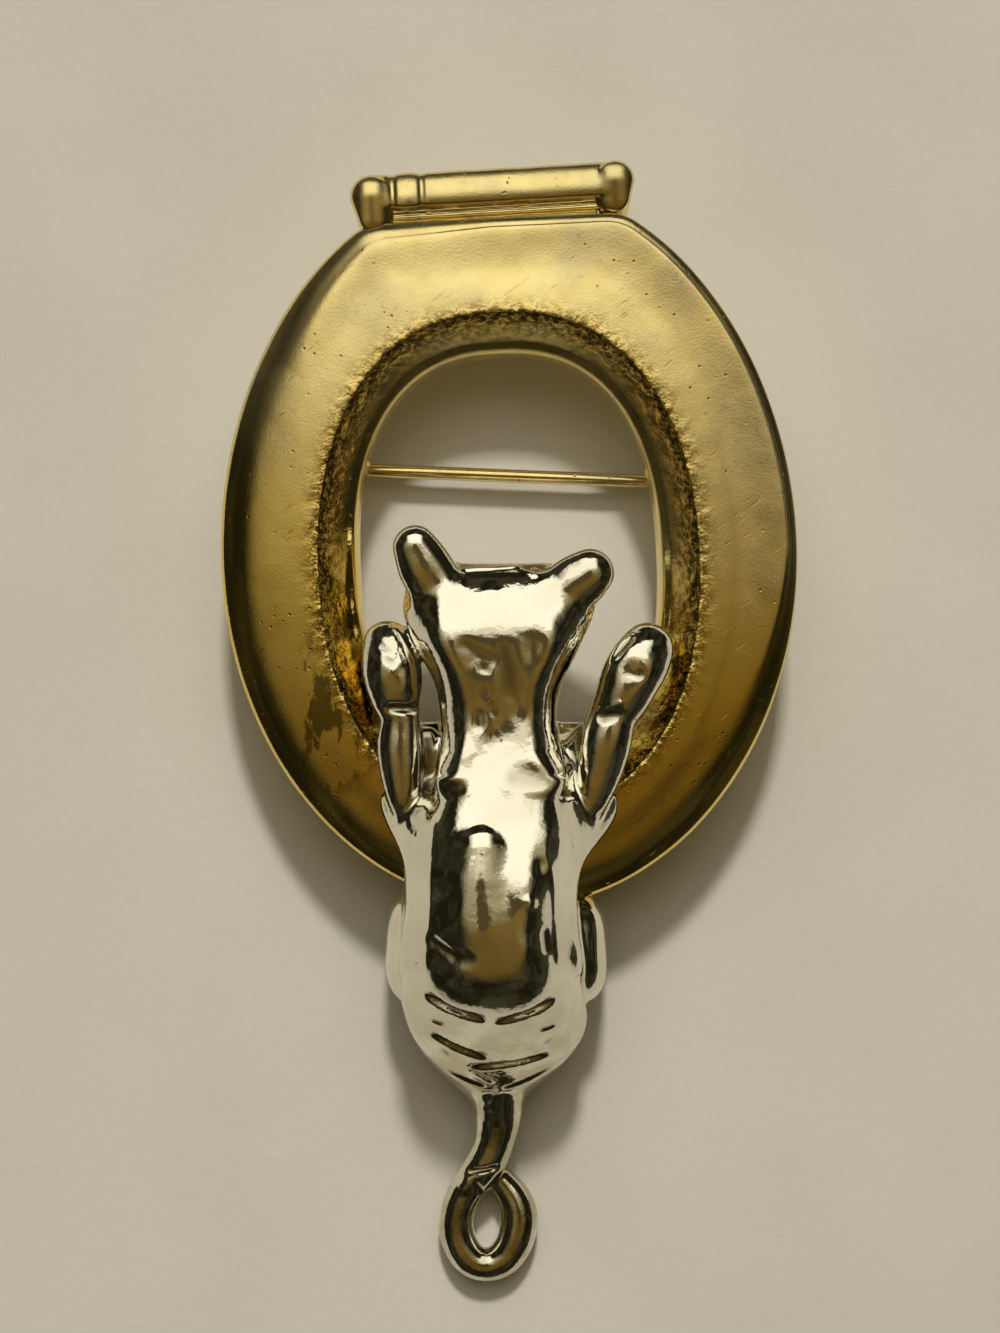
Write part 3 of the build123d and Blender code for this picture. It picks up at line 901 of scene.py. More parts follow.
# Sections of head, neck, back and rump, with the widest place's height and how square the upper half is.
#    y      left   right   crest  widest  belly  square
body_rows = [
    (8.60, -4.20, 3.00, 7.70, 6.0, 5.0, 2.5),
    (8.00, -4.60, 3.40, 8.50, 5.8, 4.7, 2.5),
    (7.40, -4.95, 3.85, 8.98, 5.6, 4.4, 2.5),
    (6.40, -5.30, 4.30, 9.50, 5.4, 4.0, 2.5),
    (5.40, -5.15, 4.10, 9.82, 5.3, 3.9, 2.5),
    (4.45, -4.75, 3.65, 9.95, 5.3, 4.0, 2.5),
    (3.45, -4.25, 3.20, 9.93, 5.3, 4.2, 2.5),
    (2.45, -3.80, 2.75, 9.82, 5.2, 4.2, 2.6),
    (1.50, -3.55, 2.50, 9.66, 5.2, 4.2, 2.6),
    (0.50, -3.40, 2.40, 9.56, 5.2, 4.2, 2.7),
    (-0.50, -3.35, 2.50, 9.62, 5.1, 4.1, 2.8),
    (-1.50, -3.45, 2.70, 9.80, 5.0, 4.0, 3.0),
    (-2.95, -3.75, 3.00, 10.14, 5.0, 3.6, 3.6),
    (-4.40, -4.35, 3.35, 10.50, 4.9, 3.2, 3.9),
    (-5.90, -5.00, 3.65, 10.84, 4.8, 2.6, 3.4),
    (-7.35, -5.30, 3.55, 11.10, 4.8, 2.0, 2.9),
    (-8.80, -5.35, 3.45, 11.27, 4.8, 1.6, 2.6),
    (-10.25, -5.45, 3.60, 11.32, 4.8, 1.4, 2.5),
    (-11.75, -5.50, 3.72, 11.17, 4.8, 1.3, 2.5),
    (-12.75, -5.50, 3.78, 10.86, 4.8, 1.3, 2.4),
    (-13.45, -5.48, 3.83, 10.45, 4.8, 1.3, 2.3),
    (-14.40, -5.35, 4.00, 9.55, 4.7, 1.3, 2.2),
    (-15.50, -5.00, 3.92, 8.20, 4.4, 1.3, 2.2),
    (-16.70, -4.40, 3.30, 6.75, 3.8, 1.2, 2.2),
    (-17.90, -3.45, 2.15, 5.20, 3.0, 1.1, 2.2),
    (-18.55, -2.80, 1.45, 4.35, 2.6, 1.1, 2.1),
    (-19.20, -2.15, 0.90, 3.55, 2.2, 1.1, 2.0),
    (-19.80, -1.85, 0.70, 3.05, 1.9, 1.0, 2.0),
]
crown_y, rump_y, crown_round = 8.35, -19.9, 0.5
belly_square = 2.3

# Slopes beside the back, from a bend down to the outline, where the side drops upright to the ring. Each
# outline has its own height, and sunk is how far the whole slope lies below the bend.
#    y      left   bend   bend  right  heights  sunk
flank_rows = [
    (0.60, -6.30, -3.20, 2.20, 6.00, 5.0, 5.0, 2.4),
    (-0.80, -6.40, -3.30, 2.30, 6.00, 5.6, 5.6, 0.80),
    (-1.90, -6.50, -3.45, 2.35, 5.95, 6.0, 6.0, 0.15),
    (-2.80, -6.50, -3.55, 2.30, 5.85, 6.4, 6.4, 0.40),
    (-3.70, -6.48, -3.60, 2.20, 5.70, 6.8, 6.8, 0.35),
    (-5.20, -5.95, -3.68, 1.90, 5.00, 7.2, 7.1, 0.10),
    (-6.20, -5.42, -3.72, 1.85, 4.15, 8.1, 7.8, 0.05),
    (-7.30, -5.22, -3.76, 2.10, 3.60, 8.3, 8.2, 0.05),
    (-8.60, -5.15, -3.80, 2.20, 3.42, 8.5, 8.6, 0.05),
    (-10.20, -5.28, -3.90, 2.30, 3.52, 8.6, 8.8, 0.05),
    (-11.80, -5.40, -4.00, 2.40, 3.68, 8.4, 8.7, 0.30),
    (-12.60, -5.40, -4.00, 2.40, 3.70, 7.9, 8.2, 1.20),
]
flank_round, flank_blend, flank_end = 0.25, 0.3, 0.3
flank_floor = 1.0

# Head and neck have a flat top, a steep cut along the outline and upright sides: how far their sections
# reach outside the outline, how square they are, and the height of the cut's foot along the head.
head_from, head_widens = -3.4, 1.6
head_spare, head_square, head_round = 0.35, 8.0, 0.55
side_slope, side_round = math.radians(50), 0.10
#    y    height
side_rows = [
    (head_from, 12.0),
    (-2.2, 9.2),
    (-1.0, 8.5),
    (0.5, 8.35),
    (2.4, 8.6),
    (4.4, 8.6),
    (5.4, 8.35),
    (6.4, 8.0),
    (7.4, 7.5),
    (8.6, 6.5),
]

# Broad swellings and hollows that a thumb left in the wax: half sizes, and height or, below 0, depth.
#    x      y     across along height
swellings = [
    (-4.00, 6.30, 0.70, 1.40, -0.12),
    (2.60, 5.60, 0.90, 1.20, -0.14),
    (1.30, 3.90, 0.60, 0.90, -0.12),
    (-1.60, 3.60, 0.70, 0.60, -0.10),
    (-1.00, 0.90, 0.50, 1.20, 0.10),
    (0.50, 1.60, 0.45, 1.10, -0.08),
    (-2.60, -1.10, 0.80, 0.60, 0.12),
    (-0.20, -2.60, 0.60, 0.80, 0.08),
    (1.20, -3.60, 0.70, 1.20, -0.06),
    (0.95, -8.60, 0.90, 1.60, 0.16),
    (-3.10, -8.40, 0.50, 1.00, -0.12),
    (0.90, -10.80, 0.60, 0.80, 0.10),
    (-3.00, -11.20, 0.80, 0.70, -0.10),
    (6.10, 2.90, 0.45, 0.55, -0.16),
    (-5.20, 2.20, 0.45, 0.70, 0.08),
]
swell_above = 5.0
# Sizes and heights of the lumps that cover all of the wax.
wax_lumps = [(2.4, 0.11), (1.1, 0.04)]

# Rods that the limbs are built up from, from root to tip: their blend, how full they are, and their rows.
#    x      y      z     radius
limb_rows = {
    "left_foreleg": (0.25, 1.25, [
        (-5.20, -4.9, 7.0, 0.30),
        (-5.28, -3.9, 7.45, 0.58),
        (-5.36, -2.7, 7.40, 0.92),
        (-5.44, -1.5, 7.35, 1.10),
        (-5.48, -0.4, 7.4, 1.08),
        (-5.45, 0.7, 7.5, 1.02),
        (-5.60, 1.4, 7.5, 1.20),
        (-5.72, 2.2, 7.5, 1.42),
        (-5.92, 3.3, 7.4, 1.46),
        (-6.06, 4.15, 7.1, 1.30),
    ]),
    "right_foreleg": (0.25, 1.25, [
        (3.90, -5.2, 7.1, 0.30),
        (4.05, -4.2, 7.55, 0.60),
        (4.36, -2.9, 7.60, 0.96),
        (4.68, -1.6, 7.65, 1.18),
        (4.95, -0.3, 7.8, 1.24),
        (5.20, 0.7, 7.85, 1.20),
        (5.58, 1.5, 7.9, 1.32),
        (6.08, 2.5, 7.9, 1.48),
        (6.52, 3.3, 7.9, 1.48),
        (6.88, 4.00, 7.6, 1.36),
    ]),
    "left_elbow": (0.35, 1.0, [
        (-4.05, -0.45, 6.7, 0.60),
        (-4.00, -1.5, 6.3, 0.95),
        (-3.95, -3.0, 5.6, 1.10),
    ]),
    "right_elbow": (0.35, 1.0, [
        (4.00, -0.2, 6.9, 0.60),
        (3.45, -1.3, 6.5, 0.95),
        (3.10, -3.0, 5.7, 1.10),
    ]),
    "left_ear": (0.35, 1.3, [
        (-2.9, 5.6, 7.75, 1.50),
        (-3.6, 7.1, 7.9, 1.42),
        (-4.25, 8.3, 8.08, 1.32),
        (-4.66, 9.10, 8.30, 1.10),
    ]),
    "right_ear": (0.35, 1.3, [
        (1.7, 5.9, 7.75, 1.50),
        (2.7, 6.8, 7.9, 1.42),
        (3.5, 7.4, 8.00, 1.36),
        (4.05, 7.82, 8.18, 1.20),
    ]),
    "back_ridge": (0.8, 1.3, [
        (-1.35, -5.9, 10.26, 0.84),
        (-1.38, -7.3, 10.30, 0.86),
        (-1.35, -9.6, 10.36, 0.85),
    ]),
    "muzzle": (0.9, 1.0, [
        (-0.5, 4.0, 6.4, 2.3),
        (-0.5, 5.5, 5.1, 2.0),
        (-0.5, 6.5, 4.3, 1.35),
    ]),
}
tail_rows = [
    (-0.60, -18.6, 2.80, 1.35),
    (-0.53, -19.99, 2.25, 1.26),
    (-0.72, -21.40, 1.95, 1.12),
    (-1.30, -22.80, 1.75, 1.08),
    (-2.10, -24.00, 1.50, 0.98),
    (-2.62, -25.20, 1.30, 0.92),
    (-2.72, -26.20, 1.12, 0.92),
    (-2.40, -27.30, 1.00, 0.90),
    (-1.78, -27.96, 0.93, 0.87),
    (-1.02, -28.12, 0.92, 0.86),
    (-0.24, -27.78, 0.96, 0.90),
    (0.36, -26.92, 1.03, 0.97),
    (0.57, -25.98, 1.08, 0.99),
    (0.46, -25.05, 1.12, 0.93),
    (0.02, -24.16, 1.15, 0.84),
    (-0.55, -23.45, 1.20, 0.74),
]
# Haunches: lumps with their middle and their half sizes.
haunch_rows = [
    ((-3.90, -11.2, 3.2), (2.42, 3.1, 2.9)),
    ((3.00, -11.2, 3.3), (2.12, 3.0, 3.0)),
]
tail_blend, haunch_blend = 0.2, 0.25
rod_shoulder = 0.12

# Marks worked into the wax with a tool, by place on the upper side: half width, and depth or, below 0,
# the height of a ridge or bead that was left standing.
#    x0     y0     x1     y1    half  depth
marks = [
    (-3.88, -13.25, -1.42, -14.30, 0.26, 0.22),
    (-0.43, -14.44, 2.04, -13.47, 0.22, 0.18),
    (-3.77, -14.56, -3.32, -14.67, 0.14, 0.10),
    (1.67, -15.01, 2.21, -14.78, 0.12, 0.09),
    (-3.69, -15.42, -1.34, -16.50, 0.22, 0.20),
    (1.88, -15.71, 2.03, -15.59, 0.12, 0.08),
    (-3.30, -16.24, -3.05, -16.41, 0.12, 0.08),
    (-1.70, -17.15, 1.84, -16.50, 0.22, 0.18),
    (-2.87, -17.56, -1.35, -18.25, 0.16, 0.14),
    (-0.17, -18.38, 1.96, -17.38, 0.14, 0.12),
    (-1.75, -17.38, -0.94, -17.99, 0.14, 0.12),
    (-1.99, -22.98, -0.62, -22.74, 0.14, 0.12),
    (-1.70, -23.60, -1.40, -24.10, 0.16, 0.10),
    (-2.10, -23.50, -2.35, -23.95, 0.18, -0.06),
    (-0.62, -18.90, -0.90, -19.60, 0.20, 0.12),
    (-3.16, -2.88, -2.41, -2.88, 0.26, 0.09),
    (0.31, -2.24, 1.95, -2.44, 0.30, 0.03),
    (-0.88, 6.86, -0.88, 6.86, 0.32, -0.06),
    (1.04, -8.46, 1.04, -8.46, 0.26, -0.10),
    (-3.86, -10.27, -2.60, -11.10, 0.20, 0.06),
    (-2.60, -11.10, -1.90, -11.30, 0.24, 0.05),
    (1.78, -10.03, 1.83, -10.76, 0.18, 0.07),
    (1.54, -6.62, 1.54, -6.96, 0.20, 0.06),
    (-2.30, 8.00, 0.40, 8.10, 0.12, -0.09),
    (0.40, 8.10, 1.30, 7.70, 0.12, -0.08),
    (-2.17, 4.21, -0.83, 3.47, 0.26, 0.06),
    (-1.28, 3.07, -1.08, 2.97, 0.16, 0.05),
    (-1.18, 1.97, -1.08, 1.77, 0.16, 0.05),
    (-0.83, 1.22, -0.83, 0.88, 0.16, 0.05),
    (-1.43, 0.73, -1.43, 0.23, 0.20, 0.05),
    (-0.93, -0.27, -0.93, -0.62, 0.18, 0.05),
    (-0.18, 3.96, 0.07, 1.97, 0.34, 0.05),
    (-5.82, 5.05, -5.55, 3.80, 0.10, -0.08),
    (-5.55, 3.80, -5.35, 3.35, 0.10, -0.08),
    (-5.35, 3.35, -5.75, 2.90, 0.10, -0.07),
    (-6.30, 4.10, -5.95, 3.90, 0.12, 0.04),
    (-6.15, 3.55, -5.80, 3.30, 0.12, 0.04),
    (-5.93, 1.10, -4.70, 1.05, 0.22, 0.16),
    (4.60, 0.95, 5.55, 1.35, 0.12, -0.08),
    (4.70, 0.60, 5.40, 0.80, 0.24, 0.12),
    (6.55, 2.75, 6.55, 2.75, 0.24, 0.10),
    (5.30, 3.60, 6.10, 4.50, 0.16, 0.07),
    (-4.92, -4.76, -4.71, -5.10, 0.14, 0.08),
    (4.56, -4.27, 4.56, -4.27, 0.14, 0.08),
    (2.90, -3.30, 3.20, -3.30, 0.12, 0.05),
]

body_at = spline(-np.array(body_rows)[:, 0], np.array(body_rows)[:, 1:])
flank_at = spline(-np.array(flank_rows)[:, 0], np.array(flank_rows)[:, 1:])
lump_seed, lump_repeat = 7, 48
lump_values = np.random.default_rng(lump_seed).random((lump_repeat,) * 3) - 0.5


def cut_sides(shape, points, middle, half_width):
    """Cuts the sides of head and neck: steep down to the cut's foot, then upright."""
    there = points[:, 1] > head_from
    x, y, z = points[there].T
    beside = np.abs(x - middle[there]) - half_width[there]
    cut_height = np.interp(y, *np.array(side_rows).T)
    slant = beside * math.sin(side_slope) + (z - cut_height) * math.cos(side_slope)
    cut = -weld(-shape[there], -slant, head_round)
    shape[there] = -weld(-cut, -beside, side_round)


def add_flanks(shape, points, middle, half_width, crest, widest, square):
    """Adds the slopes that spread beside the back from a bend down to the outline."""
    x, y, z = points.T
    there = (y < flank_rows[0][0]) & (y > flank_rows[-1][0]) & (z > flank_floor)
    edge_left, bend_left, bend_right, edge_right, low_left, low_right, sunk = flank_at(-y[there]).T
    x, y, z, middle = x[there], y[there], z[there], middle[there]
    half_width, crest, widest, square = half_width[there], crest[there], widest[there], square[there]
    sides = ((-1, bend_left, edge_left, low_left), (1, bend_right, edge_right, low_right))
    for side, bend, edge, edge_height in sides:
        reach = np.clip(np.abs(bend - middle) / half_width, 0, 0.999)
        bend_height = widest + (crest - widest) * (1 - reach**square) ** (1 / square) - sunk
        run, fall = np.abs(edge - bend), np.maximum(bend_height - edge_height, 0.3)
        slanted = ((x - bend) * side * fall + (z - bend_height) * run) / np.hypot(run, fall)
        ends = np.maximum(y - flank_rows[0][0], flank_rows[-1][0] - y) + flank_end
        flank = -weld(-np.maximum(slanted, ends), -(x - edge) * side, flank_round)
        inner = np.maximum(z - bend_height, (middle - x) * side)
        shape[there] = weld(shape[there], np.maximum(flank, inner), flank_blend)


def body_shape(points):
    """The body's rounded sections, joined along its length, with the cut sides and the flanks."""
    x, y, z = points.T
    left, right, crest, widest, belly, square = body_at(-y).T
    middle = (left + right) / 2
    half_width = (right - left) / 2
    ahead = np.clip((y - head_from) / head_widens, 0, 1)
    spread = half_width + head_spare * ahead
    across = np.abs(x - middle) / spread
    above = z > widest
    half_height = np.where(above, crest - widest, widest - belly)
    up = np.abs(z - widest) / half_height
    power = np.where(above, square + (head_square - square) * ahead, belly_square)
    ratio = np.maximum((across**power + up**power) ** (1 / power), 1e-4)
    slope = np.maximum(np.hypot(across / spread, up / half_height) / ratio, 1e-3)
    distance = (ratio - 1) / slope
    tip = np.maximum(y - crown_y, rump_y - y)
    shape = -weld(-distance, -tip, crown_round)
    cut_sides(shape, points, middle, half_width)
    add_flanks(shape, points, middle, half_width, crest, widest, square)
    return shape


def lumps(points, size, seed):
    """A cloudy value between about -0.5 and 0.5, with lumps about size apart."""
    place = points / size + seed
    cell = np.floor(place).astype(int)
    share = place - cell
    share = share**3 * (share * (share * 6 - 15) + 10)
    total = np.zeros(len(points))
    for corner in ((i, j, k) for i in (0, 1) for j in (0, 1) for k in (0, 1)):
        weight = np.prod(np.where(corner, share, 1 - share), axis=1)
        total += weight * lump_values[tuple(((cell + corner) % lump_repeat).T)]
    return total


def rod(points, rows, fullness=1.0):
    """A smooth rod through its rows. Fuller than 1, it has a flatter back and steeper sides."""
    rows = np.array(rows)
    places = np.concatenate([[0], np.cumsum(np.linalg.norm(np.diff(rows[:, :3], axis=0), axis=1))])
    path = spline(places, rows)(np.linspace(0, places[-1], 6 * len(rows)))
    shape, walls = np.full(len(points), 1e3), np.full(len(points), 1e3)
    flat = points * (1, 1, 0)
    for start, end in zip(path, path[1:]):
        lower = [row[:3] - (0, 0, (fullness - 1) * row[3]) for row in (start, end)]
        shape = np.minimum(shape, capsule(points, *lower, fullness * start[3], fullness * end[3]))
        if fullness > 1:
            lower = [row[:3] * (1, 1, 0) for row in (start, end)]
            walls = np.minimum(walls, capsule(flat, *lower, start[3], end[3]))
    return -weld(-shape, -walls, rod_shoulder) if fullness > 1 else shape


def lump(points, middle, half):
    """Distance to a lump that is a little squarer than an egg."""
    offset = np.abs(points - middle) / half
    size = np.maximum((offset**3).sum(1), 1e-6) ** (1 / 3)
    slope = np.linalg.norm((offset / size[:, None]) ** 2 / half, axis=1)
    return (size - 1) / np.maximum(slope, 1e-3)


def near(points, low, high, reach):
    """Which points lie within reach of a box."""
    return np.all((points > np.asarray(low) - reach) & (points < np.asarray(high) + reach), axis=1)


# Heights of the ring's upper side, by direction and by share of the way across, without its walls.
ring_angles = np.linspace(-math.pi, math.pi, 241)
ring_shares = np.linspace(0, 1, 101)
upper = np.concatenate([section_run(bevel_section, 60)[8:], section_run(top_section, 80)[:-6]])
ring_heights = np.array([
    np.interp(ring_shares, (upper[:, 0] * wide + upper[:, 1]) / wide, upper[:, 2])
    for wide in rim_reach(ring_angles) - opening_reach(ring_angles)
])


def saddle(points, gap):
    """The ring, swollen by gap and carried down to the surface, as the tool that cuts the cat's saddle."""
    c, s = math.cos(seat_turn), math.sin(seat_turn)
    x, y = points[:, 0], points[:, 1] - seat_middle_y
    across, along = x * c + y * s, -x * s + y * c - opening_shift
    angle, reach = np.arctan2(along, across), np.hypot(across, along)
    inner = np.interp(angle, ring_angles, opening_reach(ring_angles))
    outer = np.interp(angle, ring_angles, rim_reach(ring_angles))
    row = (angle + math.pi) / (2 * math.pi) * (len(ring_angles) - 1)
    column = np.clip((reach - inner) / (outer - inner), 0, 1) * (len(ring_shares) - 1)
    i = np.clip(row.astype(int), 0, len(ring_angles) - 2)
    j = np.clip(column.astype(int), 0, len(ring_shares) - 2)
    a, b = row - i, column - j
    top = (ring_heights[i, j] * (1 - a) + ring_heights[i + 1, j] * a) * (1 - b)
    top += (ring_heights[i, j + 1] * (1 - a) + ring_heights[i + 1, j + 1] * a) * b
    plan = np.maximum(inner - reach, reach - outer) - gap
    return np.maximum(plan, (points[:, 2] - seat_back - top - gap) * 0.8)


def wax_shape(points):
    """The cat before its marks are worked in."""
    shape = body_shape(points)
    for middle, half in haunch_rows:
        there = near(points, np.subtract(middle, half), np.add(middle, half), 1.0)
        haunch = lump(points[there], np.array(middle), np.array(half))
        shape[there] = weld(shape[there], haunch, haunch_blend)
    for blend, fullness, rows in limb_rows.values():
        rows = np.array(rows)
        there = near(points, rows[:, :3].min(0), rows[:, :3].max(0), rows[:, 3].max() + 1.2)
        shape[there] = weld(shape[there], rod(points[there], rows, fullness), blend)
    rows = np.array(tail_rows)
    there = near(points, rows[:, :3].min(0), rows[:, :3].max(0), 2.4)
    shape[there] = weld(shape[there], rod(points[there], rows), tail_blend)
    for x, y, across, along, height in swellings:
        away = ((points[:, 0] - x) / across) ** 2 + ((points[:, 1] - y) / along) ** 2
        shape -= height * np.exp(-away) * np.clip(points[:, 2] - swell_above, 0, 1)
    for seed, (size, height) in enumerate(wax_lumps):
        shape += height * lumps(points, size, 11.3 + seed)
    return shape


def upper_side(x, y):
    """Height of the wax where a line from above meets it."""
    heights = np.linspace(12.5, 1.0, 116)
    column = np.stack([np.repeat(x, len(heights)), np.repeat(y, len(heights)), np.tile(heights, len(x))], 1)
    solid = wax_shape(column).reshape(len(x), -1) < 0
    return heights[np.argmax(solid, axis=1)]


def placed_marks():
    """The marks as rods set at the right depth in the wax."""
    rows = np.array(marks)
    placed = []
    for x0, y0, x1, y1, half, depth in rows:
        xy = np.array([[x0, y0], [x1, y1]])
        z = upper_side(xy[:, 0], xy[:, 1])
        points = np.column_stack([xy, z])
        slope = steepness(wax_shape, points, 0.1)
        slope /= np.linalg.norm(slope, axis=1)[:, None]
        deep = abs(depth)
        radius = (half * half + deep * deep) / (2 * deep)
        away = radius - deep if depth > 0 else deep - radius
        centres = points - slope * wax_shape(points)[:, None] + slope * away
        placed.append((centres, radius, half, depth))
    return placed


mark_tools = placed_marks()


def cat_shape(points):
    """The finished cat."""
    shape = wax_shape(points)
    for centres, radius, half, depth in mark_tools:
        there = near(points, centres.min(0), centres.max(0), radius + 0.4)
        if not there.any():
            continue
        tool = capsule(points[there], centres[0], centres[1], radius, radius)
        edge = min(half * 0.8, 0.18)
        work = carve if depth > 0 else weld
        shape[there] = work(shape[there], tool, edge)
    there = near(points, saddle_low, saddle_high, 0.2)
    shape[there] = carve(shape[there], saddle(points[there], seat_gap), saddle_round)
    return np.maximum(shape, cat_floor - points[:, 2])


# Hollows between the forelegs and the body, which no polishing wheel reaches, as lines with half a width.
#    x0     y0     x1     y1    half
elbow_hollows = [
    (-4.12, -0.30, -4.30, -3.70, 0.52),
    (3.75, -0.20, 3.35, -3.60, 0.62),
]
hollow_top = 8.2
hollow_edge, hollow_fade = 0.3, 0.5
# A mark counts as a full hollow for the plate's dirt from this depth on.
mark_full_depth = 0.12


def cut_depth(points):
    """How deep a point lies in a mark or between foreleg and body, from 0 to 1."""
    depth = np.clip((cat_shape(points) - wax_shape(points)) / mark_full_depth, 0, 1)
    flat = points * (1, 1, 0)
    below = np.clip((hollow_top - points[:, 2]) / hollow_fade, 0, 1)
    for x0, y0, x1, y1, half in elbow_hollows:
        inside = -capsule(flat, (x0, y0, 0), (x1, y1, 0), half, half)
        depth = np.maximum(depth, np.clip(inside / hollow_edge, 0, 1) * below)
    return depth


# Colours of the silver: two that mingle all over, a painted shade that darkens it in clouds towards the
# tail for the dimmer light it mirrors there, and what has settled in marks, hollows and pits. The painted
# shade starts at one place along the cat and is full at another.
polished_silver = [(0.90, 0.87, 0.77, 1), (0.81, 0.775, 0.66, 1)]
tail_shade_silver = (0.56, 0.52, 0.38, 1)
silver_dirt = (0.20, 0.18, 0.12, 1)
tail_shade_from, tail_shade_full = -10.0, -19.0


def silver_plate(name):
    """Silver plate over polished metal, with faint ripples, a few pits and a painted shade towards the
    tail.
    """
    material, tree, shader, place = new_material(name)
    hollow = node(tree, "ShaderNodeAttribute", attribute_name="hollow").outputs["Fac"]
    patches = remap(tree, noise(tree, place, 3.0, 3.0), 0.35, 0.7)
    colour = blend_colours(tree, patches, *polished_silver)
    along = node(tree, "ShaderNodeSeparateXYZ", {0: place}).outputs[1]
    # Painted shade: the silver darkens in clouds towards the tail, standing in for the dimmer light that it
    # mirrors there.
    tailwards = remap(tree, along, tail_shade_from * mm, tail_shade_full * mm)
    clouds = remap(tree, noise(tree, place, 1.6, 3.0, 0.6), 0.36, 0.62, 0.25, 1.0)
    colour = blend_colours(tree, times(tree, tailwards, clouds), colour, tail_shade_silver)
    pit = scattered_pits(tree, place, 1.1, 0.03, 0.08, remap(tree, noise(tree, place, 2.4), 0.48, 0.56))
    stain = math_node(tree, "MAXIMUM", times(tree, hollow, 0.7), pit)
    colour = blend_colours(tree, stain, colour, silver_dirt)
    roughness = math_node(tree, "MULTIPLY_ADD", patches, 0.05, 0.04)
    roughness = math_node(tree, "MULTIPLY_ADD", hollow, 0.16, roughness)
    height = math_node(tree, "MULTIPLY_ADD", pit, -0.3, noise(tree, place, 0.9, 3.0, 0.55))
    connect_metal(tree, shader, colour, roughness, height, 0.3, 0.08)
    return material


cat_silver = silver_plate("cat_silver")
cat_low, cat_high = (np.array(corner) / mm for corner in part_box("cat"))
cat = cast("cat", cat_shape, cat_low - 0.8, cat_high + 0.8, cat_grain, cat_silver, hollow=cut_depth)
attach(cat, "brooch")
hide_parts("cat")

# Stage. A sheet of plain pale paper in a dim brown room. The polished metal mirrors a large soft window
# beyond the hinge end and a ceiling that darkens towards the tail; a soft fill lights the paper only.
paper_half = 1.6
paper_colours = [(0.78, 0.76, 0.69, 1), (0.74, 0.72, 0.65, 1)]
lamp_colour, lamp_away = (1.0, 0.95, 0.86), 2.2
window_azimuth, window_tilt = math.radians(-2), math.radians(38)
window_half = (0.50, 0.40)
window_soft = (0.30, 0.05)
window_colour = (1.18, 1.12, 0.92, 1)
window_lean = -0.10
dark_wall, cluttered_wall = (0.012, 0.011, 0.005, 1), (0.045, 0.041, 0.024, 1)
skirting, dark_zenith = (0.36, 0.33, 0.25, 1), (0.080, 0.060, 0.024, 1)
# The ceiling's colour, from the tail's side to the hinge's side of the room.
ceiling_colours = [
    (0.00, (0.140, 0.086, 0.020, 1)),
    (0.28, (0.180, 0.118, 0.032, 1)),
    (0.50, (0.250, 0.200, 0.100, 1)),
    (0.72, (0.480, 0.420, 0.270, 1)),
    (1.00, (0.850, 0.780, 0.580, 1)),
]


def paper_material():
    """Matt paper with a faint cloudy tone and fibres."""
    material, tree, shader, place = new_material("paper")
    clouds = remap(tree, noise(tree, place, 12.0, 4.0), 0.3, 0.7)
    colour = blend_colours(tree, clouds, *paper_colours)
    fibres = noise(tree, place, 0.6, 3.0)
    bump = node(tree, "ShaderNodeBump", {"Strength": 0.25, "Distance": 0.1 * mm, "Height": fibres})
    tree.links.new(colour, shader.inputs["Base Color"])
    tree.links.new(bump.outputs[0], shader.inputs["Normal"])
    shader.inputs["Roughness"].default_value = 0.9
    shader.inputs["Specular IOR Level"].default_value = 0.2
    return material


paper_mesh = bpy.data.meshes.new("paper")
corners = [(x * paper_half, y * paper_half, 0) for x, y in ((-1, -1), (1, -1), (1, 1), (-1, 1))]
paper_mesh.from_pydata(corners, [], [(0, 1, 2, 3)])
paper_mesh.materials.append(paper_material())
paper = bpy.data.objects.new("paper", paper_mesh)
bpy.context.scene.collection.objects.link(paper)


def paper_light(name, azimuth, tilt, size, strength):
    """A square light that faces the brooch; azimuth is from +Y and tilt from straight above."""
    light = bpy.data.lights.new(name, "AREA")
    light.size = size
    light.energy = strength
    light.color = lamp_colour
    lamp = bpy.data.objects.new(name, light)
    flat = lamp_away * math.sin(tilt)
    lamp.location = (flat * math.sin(azimuth), flat * math.cos(azimuth), lamp_away * math.cos(tilt))
    lamp.rotation_euler = (-tilt, 0, -azimuth)
    lamp.visible_glossy = False
    bpy.context.scene.collection.objects.link(lamp)


paper_light("fill", azimuth=math.radians(2), tilt=math.radians(44), size=0.22, strength=27.0)

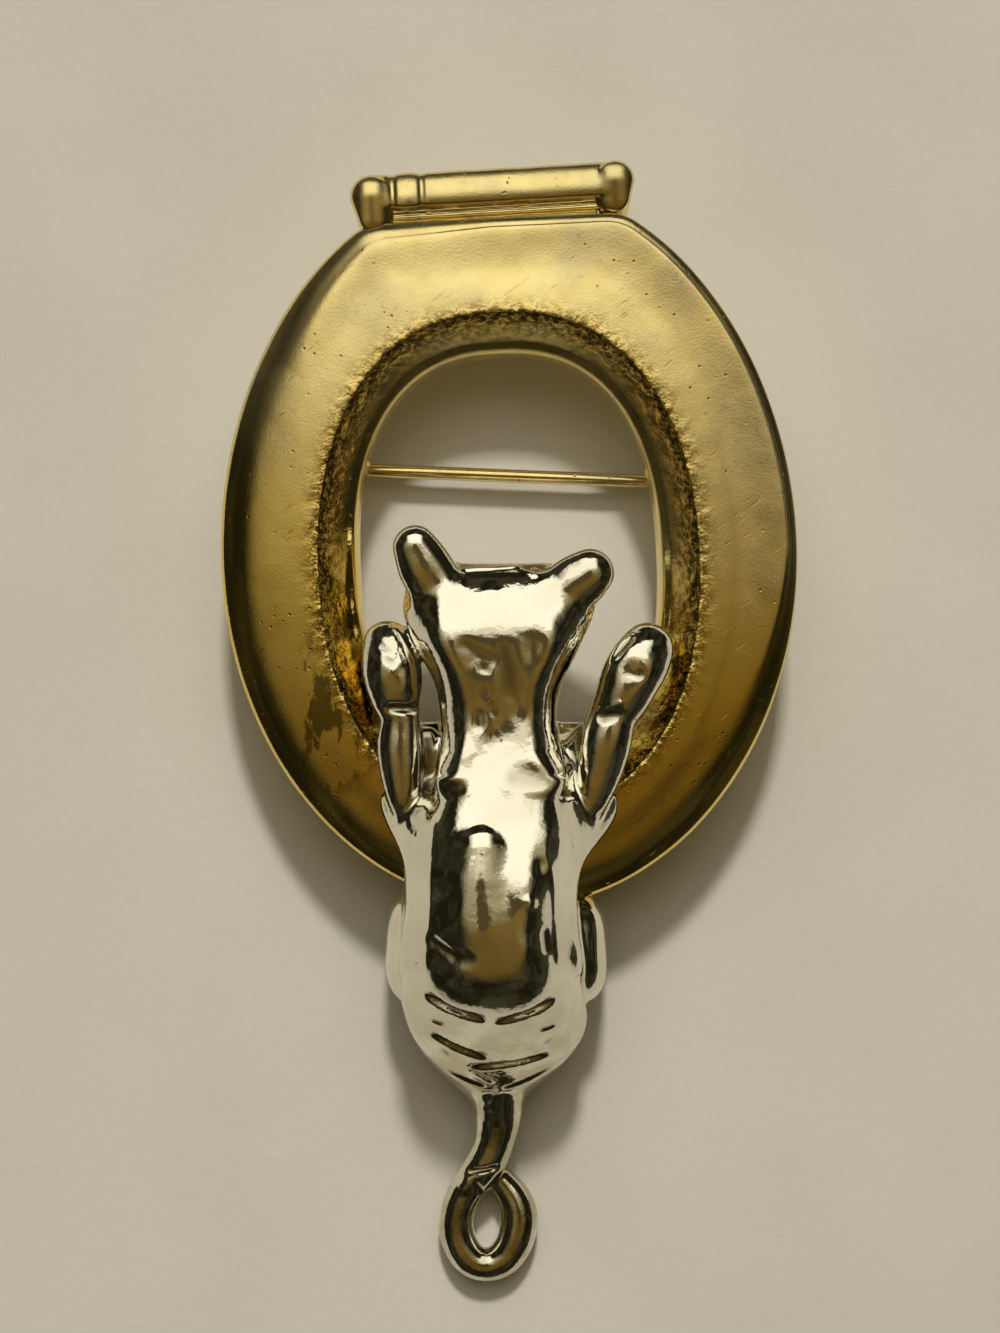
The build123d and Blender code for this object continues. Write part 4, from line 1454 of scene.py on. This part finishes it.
world = bpy.data.worlds.new("room")
world.use_nodes = True
tree = world.node_tree
direction = node(tree, "ShaderNodeTexCoord").outputs["Generated"]
parts = node(tree, "ShaderNodeSeparateXYZ", {0: direction}).outputs
flat = node(tree, "ShaderNodeCombineXYZ", {0: parts[0], 1: parts[1]}).outputs[0]
compass = node(tree, "ShaderNodeSeparateXYZ", {0: vector_node(tree, "NORMALIZE", flat)}).outputs
leaning = math_node(tree, "MULTIPLY_ADD", compass[0], window_lean, compass[1])
ramp = node(tree, "ShaderNodeValToRGB", {0: math_node(tree, "MULTIPLY_ADD", leaning, 0.5, 0.5)})
while len(ramp.color_ramp.elements) < len(ceiling_colours):
    ramp.color_ramp.elements.new(0.5)
for element, (at, colour) in zip(ramp.color_ramp.elements, ceiling_colours):
    element.position = at
    element.color = colour
clutter = remap(tree, noise(tree, direction, 300.0, 3.0), 0.38, 0.70)
walls = blend_colours(tree, clutter, dark_wall, cluttered_wall)
walls = blend_colours(tree, remap(tree, parts[2], 0.02, 0.06), skirting, walls)
shade = blend_colours(tree, remap(tree, parts[2], 0.68, 0.92), walls, ramp.outputs[0])
shade = blend_colours(tree, remap(tree, parts[2], 0.975, 0.994), shade, dark_zenith)
c, s = math.cos(window_tilt), math.sin(window_tilt)
ca, sa = math.cos(window_azimuth), math.sin(window_azimuth)
ahead, beside, above = (
    node(tree, "ShaderNodeVectorMath", {0: direction, 1: axis}, operation="DOT_PRODUCT").outputs["Value"]
    for axis in ((s * sa, s * ca, c), (ca, -sa, 0), (-c * sa, -c * ca, s))
)
facing = math_node(tree, "MAXIMUM", ahead, 0.01)
shine = remap(tree, ahead, 0.05, 0.10)
for along, half, soft in zip((beside, above), window_half, window_soft):
    offset = math_node(tree, "ABSOLUTE", math_node(tree, "DIVIDE", along, facing))
    pane = remap(tree, offset, half - soft / 2, half + soft / 2, 1.0, 0.0)
    shine = times(tree, shine, pane)
shade = blend_colours(tree, shine, shade, window_colour)
background = tree.nodes["Background"]
tree.links.new(shade, background.inputs["Color"])
background.inputs["Strength"].default_value = 1.0
bpy.context.scene.world = world
bpy.context.scene.view_settings.view_transform = "Standard"

# Camera. It looks straight down on the brooch from above its upper side, with the hinge bar at the top of
# the picture. Its lens shows a little more than the brooch, as the photograph does.
camera_at = (-0.43, 3.146, 170.0)
camera_lens = 87.38
camera_data = bpy.data.cameras.new("camera")
camera_data.lens = camera_lens
camera_data.sensor_width = 36.0
camera_data.clip_start, camera_data.clip_end = 0.01, 10.0
camera = bpy.data.objects.new("camera", camera_data)
camera.location = [value * mm for value in camera_at]
bpy.context.scene.collection.objects.link(camera)
bpy.context.scene.camera = camera
